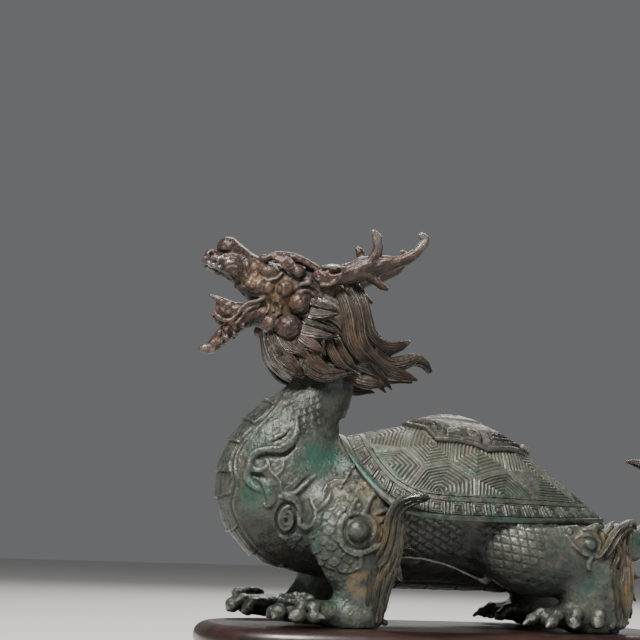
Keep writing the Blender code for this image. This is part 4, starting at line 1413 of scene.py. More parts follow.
        for flame in (
            [(-52.6, 51.2, 1.6, 1.5), (-51, 54.6, 1.2), (-49.2, 57.2, 0.9)],
            [(-46.2, 51.2, 2, 1.7), (-43.6, 55.4, 1.3), (-41.4, 59.4, 0.9)],
            [(-58.4, 47.6, 0.5, 0.6), (-57, 50.8, 1.3, 1.2), (-54.3, 53.2, 0.5, 0.6)],
            [(-40.4, 51.6, 0.7, 0.8), (-37.3, 52.5, 1.1), (-34.4, 53.6, 1), (-31.8, 56.5, 0.4, 0.5)],
            [(-39.8, 47.6, 0.4, 0.5), (-37.2, 48.4, 0.9), (-35.2, 50.6, 0.4, 0.5)],
            [(-39.2, 43.6, 0.4, 0.5), (-36.6, 44.8, 0.9), (-35, 47.2, 0.4, 0.5)],
        ):
            clay.trace(flame, side, 0.4)
        clay.stud(-48.7, 58.0, 1.5, side)
        clay.stud(-40.4, 60.5, 1.8, side)
        for x, z in (
            (-52, 62.2), (-45.6, 63.5), (-48.8, 66.1), (-55.6, 63.7), (-47.6, 68.6), (-47.4, 55.4),
            (-42.4, 66.6), (-54.6, 58.6), (-51.8, 70.4), (-57.2, 69.6),
        ):
            clay.stud(x, z, 1.15, side, 0.5)

    def plates(self, x: Array, z: Array, around: Array) -> Array:
        """Shingles down the breast: each rises evenly to its lower edge, then drops to the next one's top.

        Args:
            x: X of each point.
            z: Z of each point.
            around: Distance round the body from the middle of the breast.

        Returns:
            The height at each point.
        """
        ledges = np.array(self.ledges)
        down, _ = along_path(x, z, ledges)
        at = np.concatenate([[0.0], np.cumsum(np.linalg.norm(np.diff(ledges, axis=0), axis=1))])
        plate = np.clip(np.searchsorted(at, down, side="right") - 1, 0, len(at) - 2)
        share = (down - at[plate]) / (at[plate + 1] - at[plate])
        rise = 0.3 + 1.1 * share**1.4 + 0.35 * smooth(share, 0.88, 0.94)
        return rise * (1 - 0.8 * smooth(share, 0.965, 1.0)) + 0.10 * np.sin(2 * np.pi * around / 2.3)

    def relief(self, skin: Skin) -> Array:
        """Breast plates, scales on neck, chest and shoulder, and an uneven cast surface.

        Args:
            skin: The cast clay.

        Returns:
            The height of the relief at each point.
        """
        x, y, z = skin.points.T
        spine = eased([(a, c) for a, _, c, *_ in self.neck], 4)
        down, off = along_path(x, z, spine)
        around = np.arctan2(np.abs(y), -off) * 23
        _, beside = along_path(x, z, eased(self.border, 3)[:, :2])
        in_front = smooth(-beside, 1.0, 1.6) * smooth(z, 24, 30)
        plates = self.plates(x, z, around) * in_front
        fine = within(x, z, (-85, 89, 9, 9), 0.4)
        high = 0.6 * scales(down, around, 2.5, 3.4) * fine * (1 - in_front)
        coarse = 0.7 * scales(down + 0.9 * ruffled(skin.points, 7.0), around, 3.2, 4.6)
        high += coarse * within(x, z, (-71, 99, 12, 15), 0.35) * (1 - fine) * (1 - in_front)
        slant, over = 0.21 * x - 0.98 * z, 0.98 * x + 0.21 * z
        upper = [(-86, 43), (-77, 35.6), (-68.5, 29.5), (-60.5, 25.6), (-54, 23.6), (-46, 26)]
        lower = [
            (-86, 41), (-77, 43.4), (-70.4, 42.6), (-66, 46), (-64.8, 52.2), (-60.4, 55.6), (-57.4, 60.5),
            (-54, 58),
        ]
        (_, above), (_, below) = along_path(x, z, upper), along_path(x, z, lower)
        ball = np.hypot((x + 47.4) / 1.05, z - 43.2)
        stripe = smooth(above, 0.0, 1.2) * smooth(-below, 0.6, 1.6) * smooth(ball, 10.0, 10.8)
        stripe = stripe * smooth(-45.5 - x, 0, 2) * smooth(np.abs(y), 10, 16)
        armour = 1.0 * scales(slant, over, 3.5, 6.4, 0.8) * stripe
        cast = uneven(skin.points, (0.13, 9.0), (0.07, 2.6, 1.0), (0.05, 1.3, 2.0))
        return plates + high + armour + cast + self.paw().whorls(skin.points, self.side)

    def skin(self) -> Skin:
        """This half's finished skin.

        Returns:
            The closed skin, which laps over the middle plane under the other half.
        """
        y = sorted((self.side.value * 53.0, -self.side.value * (self.overlap + 2 * self.grain)))
        clay = Clay((-113.0, y[0], -1.0), (self.rear_cut + 1.0, y[1], 125.0), self.grain)
        self.torso(clay)
        self.leg(clay)
        self.ornament(clay)
        clay.trim(lambda x, y, z: np.maximum(SOLE - z, x - self.rear_cut))
        clay.trim(lambda x, y, z: -self.side.value * y - self.overlap)
        clay.trim(self.shell.room)
        skin = clay.cast()
        skin.relieved(self.relief(skin) * (skin.points[:, 2] > SOLE + 1.0))
        patina_marks(skin, self.grain)
        rubbed = 0.34 * skin.marks["wear_and_highlight"] * smooth(skin.points[:, 2], 2, 24)
        # The paw adds its rubbed claws with their painted glints.
        skin.mark(wear_and_highlight=np.clip(rubbed + 0.8 * self.paw().bright(skin.points, self.side), 0, 1))
        body_tones(skin)
        return skin


def painted_underside_shade(skin: Skin) -> Array:
    """How far each point of the skin faces down, 0 to 1: painted shade that darkens the faces turned down."""
    return smooth(-skin.normals()[:, 2], -0.05, 0.75)


def body_tones(skin: Skin) -> None:
    """Marks where the patina runs teal and rusty gold on the body, where the balls are dark, and the painted
    shade on the neck, chest, belly, thigh, paws and undersides.

    Args:
        skin: The skin to mark.
    """
    x, _, z = skin.points.T
    knee = within(x, z, (61.2, 41, 4.6, 4.6), 0.2)
    moat = within(x, z, (-48.6, 43.6, 8.6, 8.6), 0.2)
    teal = patches(
        x, z, (1.4, -64, 77, 17, 14, 0.9), (1.3, -94, 60, 10, 14, 0.9), (1, -92, 84, 9, 13, 0.9),
        (0.7, 60, 24, 12, 12, 0.9), (0.6, 38, 24, 14, 8, 0.9), (0.5, -58, 14, 10, 9, 0.9),
        (0.7, 103, 42, 12, 12, 0.9), (0.35, -66, 40, 20, 14, 0.9),
    )
    chest = within(x, z, (-47, 20.5, 7.5, 9), 0.8) * (0.9 + 0.7 * ruffled(skin.points, 4.0))
    rust = chest + patches(
        x, z, (0.6, 81, 22, 7, 20, 0.8), (0.75, -38.5, 44, 5, 15, 0.8), (0.45, -40, 63, 8, 9, 0.9),
        (0.3, -50, 64, 12, 8, 0.9), (0.5, 62, 45, 12, 9, 0.8),
    )
    # Painted shade: the neck under the head, the lower chest, the belly, the lower thigh and the paws are
    # darkened; the patch on the shoulder ball is its own dark patina.
    dark = patches(
        x, z, (1, -94, 38, 17, 17, 0.9), (1, 2, 36, 34, 16, 0.8), (1, 20, 20, 40, 14, 0.8),
        (0.7, -56, 118, 20, 16, 0.9), (0.6, -66, 104, 20, 18, 0.9), (0.8, -82, 6, 16, 8.5, 0.3),
        (0.8, 46, 5, 22, 7, 0.4), (0.3, 30, 30, 26, 16, 0.9), (0.5, 58, 28, 10, 12, 0.9),
        (0.45, -48.8, 43.8, 5.6, 5.6, 0.2), (0.6, -82, 28, 22, 12, 0.9), (0.6, 26, 22, 30, 10, 0.8),
    )
    # The knee ball is dark patina; the faces turned down are darkened with painted shade, above the soles.
    skin.mark(
        teal=np.clip(teal * (0.75 + 0.5 * ruffled(skin.points, 13.0)) + 0.5 * knee, 0, 1),
        rust=np.clip(rust * (1 - moat) * (1 - knee), 0, 1),
        dark=np.clip(dark + 0.6 * knee + painted_underside_shade(skin) * smooth(z, 4, 12), 0, 1),
    )


@dataclass(frozen=True)
class Hindquarters:
    """One half of the barrel under the shell, with its thigh, hind leg and paw, and the root of the tail."""

    side: Side
    shell: "Shell"
    grain: float = 0.6
    overlap: float = 0.8
    front_cut: float = -47.0

    def torso(self, clay: Clay) -> None:
        """The barrel, the plastron below it with a raised edge, and the tail's root.

        Args:
            clay: The clay that takes the forms.
        """
        barrel = [
            (-62, 0, 57, 28, 31), (-40, 0, 55, 34, 36), (-20, 0, 56, 37, 38), (0, 0, 57, 38, 39),
            (20, 0, 56, 39, 38), (40, 0, 51, 38, 30), (60, 0, 45, 32, 21), (80, 0, 43.5, 20, 12.5),
            (94, 0, 42, 12, 9.5),
        ]
        clay.limb(barrel, 3.0, 5)
        clay.limb([(84, 0, 44, 13, 11), (96, 0, 42, 10, 9), (106.5, 0, 43, 8), (112, 0, 49, 6.8)], 4.0, 5)
        edge = [
            (-27, 34.5, 32.8, 0.62), (-16, 34.6, 32, 0.62), (-4, 34, 29.6, 0.62), (6, 33, 25.8, 0.6),
            (16, 30, 21.6, 0.5),
        ]
        clay.limb(mirrored(edge, self.side), 0.6, 5)

    def leg(self, clay: Clay) -> None:
        """The big thigh, the shin set back from it, and the paw turned outward.

        Args:
            clay: The clay that takes the forms.
        """
        side = self.side
        clay.ball((40, side.value * 33, 37.5), (30, 16, 21.5), 6, 7.0)
        leg = [
            (56, 34, 42, 13, 18), (66, 37, 30, 11, 17), (66.4, 38, 19, 9.8, 16.2), (66, 38, 10, 9.2, 14.4),
            (67, 37, 2, 9, 12.6),
        ]
        clay.limb(mirrored(leg, side), 6.0, 5)
        clay.limb(mirrored([
            (72, 37, 5, 8.5, 5.5), (60, 37, 7.4, 9.6, 6.6), (50, 37.4, 7.2, 8.6, 5.2), (43, 38, 6.4, 6.4, 3.8)
        ], side), 3.0, 5)
        self.paw().press(clay, side)
        for k in range(9):
            x, y, z = 72.5 + 1.2 * k, 45.6 - 0.7 * k, 3.2 + 0.9 * (k % 2) + 0.25 * k
            clay.ball((x, side.value * y, z), (1.6, 1.6, 1.4), ease=0.4)

    def paw(self) -> Paw:
        """The hind paw, its claws spread forward and out.

        Returns:
            The paw.
        """
        return Paw((
            ((51, 32, 8.5, 3.2), (45.4, 29, 7.6, 2.9), (41.5, 27, 4.8, 2.8), (38.8, 26, 3, 0.9)),
            ((47, 37, 9, 3.3), (41, 38.2, 8.4, 3.1), (36.2, 39.6, 6, 2.7), (31.4, 41, 3.6, 0.9)),
            ((51, 42, 8.6, 3.3), (46, 45.4, 7.9, 3), (42.6, 47.6, 4.9, 2.9), (39.6, 49.6, 3, 0.9)),
            ((57, 44, 8.8, 3.3), (54.8, 47.2, 8.8, 2.7), (53.2, 48.2, 5.2, 3.2), (52.2, 51, 3.2, 0.9)),
            ((67, 44, 8.6, 3.3), (65.8, 47.4, 8.6, 2.7), (64.6, 48.4, 5.4, 3.1), (63, 50.8, 3.6, 0.9)),
        ))

    def flank(self, x: Array, y: Array, z: Array) -> Array:
        """How far a point stands above the top of the half, which is cut lower outside, over the knee."""
        return z - 70.0 + 22.6 * smooth(x, 46, 52) * (1 - smooth(x, 78, 86)) * smooth(np.abs(y), 37, 41)

    def ornament(self, clay: Clay) -> None:
        """The knee ball in its ring, the scroll before it and the flame crest over it.

        Args:
            clay: The clay that takes the forms.
        """
        side, y = self.side, self.side.value
        clay.ball((61.2, y * 45.2, 41), (6.6, 3.2, 5.6), ease=2.0)
        clay.ball((60.8, y * 47.4, 40.9), (3.3, 3.4, 2.9), ease=0.3)
        for lobe in (
            [(52.6, 43.6, 43, 2.6, 3.4), (54.6, 44.6, 47.4, 2.2, 2.4), (55.4, 44.8, 50.6, 0.9)],
            [(60, 43.6, 44, 2.8, 4.4), (63.6, 44.6, 47.6, 2.4, 2.8), (66.2, 44.8, 51, 0.9)],
            [(70, 42.4, 44, 2.6, 3.6), (72.4, 43, 48.4, 2.2), (74.4, 43, 51.8, 0.8)],
        ):
            clay.limb(mirrored(lobe, side), 0.8)
        outer = [
            (50, 44.6, 0.7), (52, 41.4, 0.9, 1), (54.8, 38.6, 1, 1.1), (58.2, 36.4, 1, 1.1),
            (62.2, 35.5, 1, 1.1), (65.8, 36, 1, 1.1), (69.2, 38.4, 0.9, 1), (71.8, 42, 0.8),
            (73.4, 45.4, 0.5),
        ]
        clay.trace(outer, side, 0.4)
        clay.trace([
            (58, 38.2, 0.4, 0.5), (60.4, 37, 0.7), (63.4, 37, 0.7), (65.8, 38.8, 0.6), (66.6, 41.6, 0.4, 0.5)
        ], side, 0.3)
        clay.ball((51.8, y * 45.6, 46.8), (3.1, 2.4, 3.1), ease=0.4)
        clay.trace(spiral((51.8, 46.8), (1.9, 1.7), 1.1, 200, (0.55, 0.55)), side, 0.2, True)
        clay.trace([
            (54, 43.2, 0.4, 0.5), (56.6, 44.8, 0.9), (60, 45.2, 1), (63.2, 44.4, 1), (66, 42.4, 0.8),
            (67.2, 40.2, 0.4, 0.5),
        ], side, 0.4)
        for fold in (
            [(55, 49.4, 0.6), (57.4, 47.4, 0.9, 0.8), (58, 46, 0.5)],
            [(66, 49.8, 0.6), (68.6, 46.6, 0.9, 0.8), (69.6, 42.6, 0.6)],
        ):
            clay.trace(fold, side, 0.4)
        clay.trace([
            (61.6, 34.8, 0.9, 1), (60.2, 32, 1.1), (60.6, 29.6, 0.8), (62.6, 29.2, 0.4, 0.5)
        ], side, 0.4)

    def relief(self, skin: Skin) -> Array:
        """Blocks on the flank, a net of squares on the thigh, plates under the belly, and cast unevenness.

        Args:
            skin: The cast clay.

        Returns:
            The height of the relief at each point.
        """
        x, y, z = skin.points.T
        outer = smooth(np.abs(y), 22, 30)
        slope, climb = 0.87 * x - 0.50 * z, 0.87 * z + 0.50 * x
        flank = 0.5 * bricks(slope, climb, 4.6, 3.2, 0.8) * within(x, z, (-18, 44, 26, 14), 0.35) * outer
        thigh = within(x, z, (34, 39, 26, 21), 0.3) * outer * smooth(np.hypot(x - 61.5, z - 41), 8, 10)
        net_x = np.abs(((x + 0.12 * (z - 40)) / 3.9) % 1.0 - 0.5) * 2
        net_z = np.abs(((z + 0.16 * (x - 34)) / 3.8) % 1.0 - 0.5) * 2
        strong = 0.35 + 0.65 * within(x, z, (26, 40, 19, 17), 0.6)
        net = 0.42 * smooth(np.minimum(1 - net_x, 1 - net_z), 0.0, 0.42) * thigh * strong
        under = smooth(-skin.normals()[:, 2], 0.3, 0.7) * smooth(30 - np.abs(y), 0, 4)
        under = under * smooth(40 - x, 0, 8) * smooth(z, 12, 15)
        seams = np.minimum(np.abs((x / 15.0) % 1.0 - 0.5) * 30, 15 - np.abs(y))
        belly = 0.6 * smooth(np.abs(seams), 0.0, 1.4) * under
        cast = uneven(skin.points, (0.16, 8.0), (0.08, 2.7, 1.0))
        return flank + net + belly + cast + self.paw().whorls(skin.points, self.side)

    def skin(self) -> Skin:
        """This half's finished skin.

        Returns:
            The closed skin, flat on top where the shell covers it.
        """
        y = sorted((self.side.value * 54.0, -self.side.value * (self.overlap + 2 * self.grain)))
        clay = Clay((self.front_cut - 1.0, y[0], -1.0), (122.0, y[1], 60.0), self.grain)
        self.torso(clay)
        self.leg(clay)
        clay.trim(self.flank)
        self.ornament(clay)
        clay.trim(lambda x, y, z: np.maximum(SOLE - z, self.front_cut - x))
        clay.trim(lambda x, y, z: -self.side.value * y - self.overlap)
        clay.trim(self.shell.room)
        skin = clay.cast()
        skin.relieved(self.relief(skin) * (skin.points[:, 2] > SOLE + 1.0))
        patina_marks(skin, self.grain)
        x, y, z = skin.points.T
        # Painted highlight on the net of the thigh, which also raises the wear mark there.
        painted_thigh_highlight = 0.55 * within(x, z, (27, 43, 13, 11), 0.9) * smooth(np.abs(y), 30, 42)
        rubbed = (0.4 + painted_thigh_highlight) * skin.marks["wear_and_highlight"] * smooth(z, 2, 24) + 0.3 * painted_thigh_highlight
        # The paw adds its rubbed claws with their painted glints.
        skin.mark(wear_and_highlight=np.clip(rubbed + 0.9 * self.paw().bright(skin.points, self.side), 0, 1))
        body_tones(skin)
        return skin


@dataclass(frozen=True)
class LegHair:
    """The flame-shaped hair behind the legs of one side: a curl at the top, and tips down to the heel."""

    side: Side
    step: float

    def fore(self) -> list[Stations]:
        """Behind the front leg: the mass, then the strands that lie on it, from the curl down to the heel.

        Returns:
            Each lock's stations.
        """
        return [
            [(-27.5, 41, 57.6, 1.2, 1.6), (-29.8, 41.2, 50, 2.4, 3.8), (-31, 41, 42, 2.8, 5),
             (-33, 40.4, 33, 3, 5.6), (-36, 39.6, 23, 3, 5.2), (-38, 38.8, 13, 3, 4.8),
             (-39.4, 38, 4, 3, 4.6)],
            [(-16.6, 49, 59.6, 0.5, 0.6), (-19.5, 49.2, 60.9, 1.4), (-23.7, 48.4, 60.5, 1.7, 1.6),
             (-28.6, 46.6, 58.8, 1.8, 1.6), (-32.2, 44.8, 55.4, 1.7, 1.6), (-34.4, 43.6, 50.4, 1.8, 1.5),
             (-35.4, 43.8, 44.6, 1.8, 1.4), (-36.8, 43.6, 38.4, 1.7, 1.3), (-39.2, 43.2, 34.2, 1.5, 1.1),
             (-41.8, 43, 33.6, 0.8, 0.6)],
            [(-17, 48.6, 59.2, 0.4, 0.5), (-20.5, 48.4, 59.2, 1.1), (-25.2, 46.6, 58, 1.6, 1.3),
             (-29.6, 44.6, 55.4, 1.7, 1.5), (-31.8, 43, 50.6, 1.8, 1.5), (-32.6, 43.2, 44.4, 1.9, 1.5),
             (-33.8, 43.2, 37.4, 1.9, 1.5), (-36.4, 43, 31, 1.8, 1.4), (-39.6, 42.8, 28.4, 1.5, 1),
             (-42.2, 42.6, 29.4, 0.7, 0.5)],
            [(-17.6, 48, 58.5, 0.4), (-21.4, 47.2, 57.6, 1.1, 0.9), (-25.8, 45.4, 55.6, 1.5, 1.2),
             (-28.8, 43.6, 52, 1.7, 1.5), (-29.8, 42.4, 46.4, 1.9, 1.5), (-30.6, 42.4, 39.4, 2, 1.6),
             (-33, 42.2, 31.4, 2, 1.6), (-36.6, 41.8, 24.8, 2, 1.5), (-39.2, 41.4, 18, 1.9, 1.4),
             (-40.4, 40.8, 10.4, 1.8, 1.3), (-41.4, 40.2, 4.2, 1.2, 1)],
            [(-26.4, 41.4, 54.4, 0.5), (-27.2, 41.6, 49.4, 1.5, 1.3), (-27.6, 41.8, 43.4, 1.9, 1.5),
             (-28.6, 41.6, 36.4, 2, 1.6), (-31.2, 41.2, 28.6, 2.1, 1.6), (-34.2, 40.8, 21.4, 2.1, 1.6),
             (-36.4, 40.2, 14, 2, 1.5), (-37.6, 39.6, 7.4, 1.8, 1.4), (-39.4, 39.2, 3.4, 1.1, 1)],
            [(-29.4, 41, 33.4, 0.8), (-30.2, 40.8, 27.6, 1.9, 1.5), (-32, 40.2, 21.4, 2, 1.6),
             (-33.8, 39.6, 14.8, 2, 1.5), (-34.8, 38.8, 9, 1.8, 1.4), (-36.4, 38.2, 4.4, 1.1, 1)],
            [(-28.6, 41, 46.4, 1, 1.2), (-26.8, 40.6, 41.6, 1.6, 1.7), (-24.8, 39.8, 38.4, 1.2),
             (-21.9, 38.8, 36.2, 0.4)],
            [(-30.6, 40.6, 33.4, 1, 1.2), (-29.2, 40.2, 27.8, 1.7, 1.8), (-27.8, 39.4, 24, 1.3),
             (-25.5, 38.4, 21.2, 0.4)],
            [(-41, 42.8, 31.6, 0.6), (-42.6, 42.8, 25.6, 1.4, 1.1), (-43, 42.4, 18.4, 1.5, 1.2),
             (-43.4, 41.8, 11, 1.5, 1.2), (-44.2, 41.4, 5, 0.9, 0.8)],
            [(-37.4, 43, 47, 0.4), (-38.2, 43.6, 42.6, 1.2, 0.9), (-39.8, 43.6, 38.6, 1.3, 0.9),
             (-42.4, 43.2, 36.8, 0.5, 0.4)],
        ]

    def hind(self) -> list[Stations]:
        """Behind the hind leg: the mass, then its strands, from the curl over the hock down to the heel.

        Returns:
            Each lock's stations.
        """
        return [
            [(72.4, 45, 46, 1.6, 2), (75.6, 44.8, 41, 2.4, 4.2), (77.6, 44, 33, 2.8, 5.6),
             (78.4, 43, 24, 3, 6.2), (78, 42.4, 14, 3, 5.8), (76.6, 41.6, 5, 3, 4.8)],
            [(62.6, 47.2, 33.4, 0.6), (66.4, 47.8, 36.6, 1.5, 1.4), (70, 48, 41.2, 1.8, 1.7),
             (72.8, 47.8, 46, 1.9, 1.8), (76.8, 46.8, 49.4, 1.8, 1.7), (81, 45.6, 51.6, 1.6, 1.5),
             (84.2, 44.6, 51.8, 1.3, 1.2), (85.4, 44, 49, 0.5)],
            [(68.2, 46.8, 33.6, 0.7), (71.6, 47.4, 38.6, 1.7, 1.5), (74.4, 47.2, 43.4, 1.9, 1.6),
             (78, 46.2, 46.8, 1.7, 1.5), (81.6, 45, 49, 1.4, 1.2), (84.6, 44.2, 49.2, 0.6)],
            [(84.4, 43.8, 50.4, 0.5), (82.2, 44.2, 46.4, 1.4, 1.3), (81.6, 44.6, 40.6, 1.7, 1.4),
             (81.2, 44.8, 34.6, 1.8, 1.5), (78.8, 44.8, 29, 1.6, 1.3), (75.6, 45, 27.2, 0.7, 0.6)],
            [(80.6, 44.6, 47, 0.5), (78.4, 45.6, 42.4, 1.6, 1.4), (78, 46, 36.6, 1.7, 1.4),
             (76.6, 46, 31.6, 1.4, 1.1), (74.4, 46, 30, 0.6, 0.5)],
            [(74, 46.6, 41.6, 0.6), (75.4, 46.8, 36.6, 1.5, 1.2), (73.4, 46.8, 31.4, 1.7, 1.3),
             (72.8, 46.4, 24.4, 1.8, 1.4), (74.6, 45.4, 16.4, 1.8, 1.4), (75.4, 44.2, 8.4, 1.6, 1.3),
             (74.8, 43.2, 4, 0.9)],
            [(79.4, 44.4, 30, 0.7), (77.2, 45.2, 24, 1.8, 1.5), (77.6, 44.6, 16.6, 1.9, 1.5),
             (79.2, 43.4, 9.6, 1.7, 1.4), (79.6, 42.4, 4.6, 0.9)],
            [(81, 44, 38, 0.8, 0.9), (83.2, 43.6, 35.4, 1.6), (85.4, 42.8, 34.8, 1.2),
             (87.8, 42.2, 35.4, 0.4)],
            [(80.4, 43.8, 31.6, 0.8, 0.9), (83, 43.2, 28.4, 1.7, 1.8), (85.4, 42.6, 26.6, 1.2),
             (87.8, 42, 26.4, 0.4)],
            [(80.2, 43.6, 24.6, 0.8, 0.9), (82.2, 43, 20.6, 1.8, 1.9), (84, 42.4, 17.6, 1.3),
             (85.8, 41.8, 15.6, 0.4)],
            [(79.4, 43.2, 17.6, 0.8, 0.9), (81.6, 42.6, 13.4, 1.8), (83.2, 41.8, 10.4, 1.2),
             (83.4, 41.2, 7.4, 0.4)],
        ]

    def skin(self) -> Skin:
        """Both fringes of this side as one piece.

        Returns:
            The skins of the masses and of their strands side by side.
        """
        fore, hind = [stepped(path, self.step) for path in self.fore()], self.hind()
        masses = [Lock(mirrored(path, self.side), 14, 0.12, 96, 9) for path in (fore[0], hind[0])]
        strands = [Lock(mirrored(path, self.side), 5, 0.16, 32, 7) for path in (*fore[1:], *hind[1:])]
        skin = joined([lock.skin() for lock in masses + strands])
        skin.relieved(0.07 * ruffled(skin.points, 3.0))
        patina_marks(skin, 0.8)
        body_tones(skin)
        x, _, z = skin.points.T
        # Painted highlights on the top of each curl and on two strands of the fore fringe, laid into the wear
        # mark.
        curl = patches(
            x, z, (1, -21, 61.2, 7, 2, 0.5), (0.6, 81, 51.6, 6, 2.4, 0.6), (0.8, -22.6, 37, 3.4, 2.8, 0.5),
            (0.7, -26.4, 22.4, 3.2, 2.8, 0.5),
        )
        earth = (0.35 + 0.4 * skin.marks["dust"]) * smooth(z, 6, 20) * smooth(56 - z, 0, 8)
        skin.mark(
            wear_and_highlight=np.clip(0.6 * skin.marks["wear_and_highlight"] + curl, 0, 1),
            rust=np.clip(skin.marks["rust"] + earth, 0, 1),
        )
        return skin


@dataclass(frozen=True)
class Tail:
    """The tail: it turns up behind the shell and ends in locks of hair."""

    def skin(self) -> Skin:
        """Stem and locks as one piece.

        Returns:
            The skins of the stem and of the locks side by side.
        """
        stem = [
            (98, 0, 42, 8.5, 7.5), (106.5, 0, 43.6, 7.6), (112.4, 0, 50, 6.6), (114.3, 0, 60, 5.6),
            (113.6, 0, 70, 4.8), (113.2, 0, 78, 4.2),
        ]
        tip_lock = [
            (113.6, 0, 66, 4.4), (112.8, -1, 75, 4, 4.4), (108.6, -1.4, 81.4, 2.8, 3.2),
            (102.6, -1, 83.4, 1.5, 1.7), (99.2, 0, 83.8, 0.6),
        ]
        locks = [
            tip_lock,
            [(114, 0, 70, 4.6), (114, 1, 84, 4, 4.6), (113, 1, 95, 2.8, 3.1), (109, 0, 102, 0.8, 0.9)],
            [(114, 0, 64, 3.6), (116.4, 1, 77, 3.4, 3.1), (117.8, 1, 89, 2.5, 2.4), (117, 0, 99, 0.8, 0.9)],
            [(113.6, 2, 68, 3), (114.4, 5, 77, 2.6, 2.8), (113, 5.6, 86, 1.8, 2), (110.4, 4.4, 92, 0.6)],
            [(113.6, -2, 68, 3), (114.4, -5, 78, 2.6, 2.8), (113.6, -5.4, 87, 1.8, 2),
             (110.4, -4.4, 93, 0.6)],
        ]
        rod = Lock(stem, 5, 0.05, 72, 14).skin()
        x, y, z = rod.points.T
        rod.relieved(
            0.5 * scales(-z, np.arctan2(y, x - 118) * 9, 2.6, 3.4) * smooth(z, 34, 40) * smooth(74 - z, 0, 6)
        )
        skin = joined([rod] + [Lock(path, 6, 0.15, 40, 9).skin() for path in locks])
        skin.relieved(0.08 * ruffled(skin.points, 3.5))
        patina_marks(skin, 0.8)
        body_tones(skin)
        skin.mark(red=smooth(skin.points[:, 2], 62, 78))
        return skin


# ---------------------------------------------------------------- the shell

BAND = 1.0


@dataclass(frozen=True)
class Scute:
    """One nested cell: corners and focus as degrees round the apex and reach; BAND is the band's edge."""

    corners: tuple[Corner, ...]
    focus: Corner
    twin: bool = True


SCUTES = (
    Scute(((180, BAND), (152.8, BAND), (132, 0.646), (163.8, 0.34), (180, 0.34)), (164, 0.80)),
    Scute(((152.8, BAND), (117.5, BAND), (110.5, 0.764), (132, 0.646)), (136.5, 0.82)),
    Scute(((117.5, BAND), (87.5, BAND), (86.3, 0.818), (94.6, 0.728), (110.5, 0.764)), (101, 0.885)),
    Scute(((87.5, BAND), (60, BAND), (69.5, 0.752), (86.3, 0.818)), (76, 0.882)),
    Scute(
        ((132, 0.646), (110.5, 0.764), (94.6, 0.728), (92, 0.48), (115, 0.36), (163.8, 0.34)), (107, 0.592)
    ), Scute(((94.6, 0.728), (86.3, 0.818), (69.5, 0.752), (58.8, 0.5), (76, 0.46), (92, 0.48)), (81, 0.64)),
    Scute(((58.8, 0.5), (69.5, 0.752), (60, BAND), (36, BAND), (26, 0.70), (30, 0.45)), (49, 0.73)),
    Scute(
        ((26, 0.70), (36, BAND), (0, BAND), (-36, BAND), (-26, 0.70), (-30, 0.45), (0, 0.42), (30, 0.45)),
        (0, 0.70), False,
    ),
)


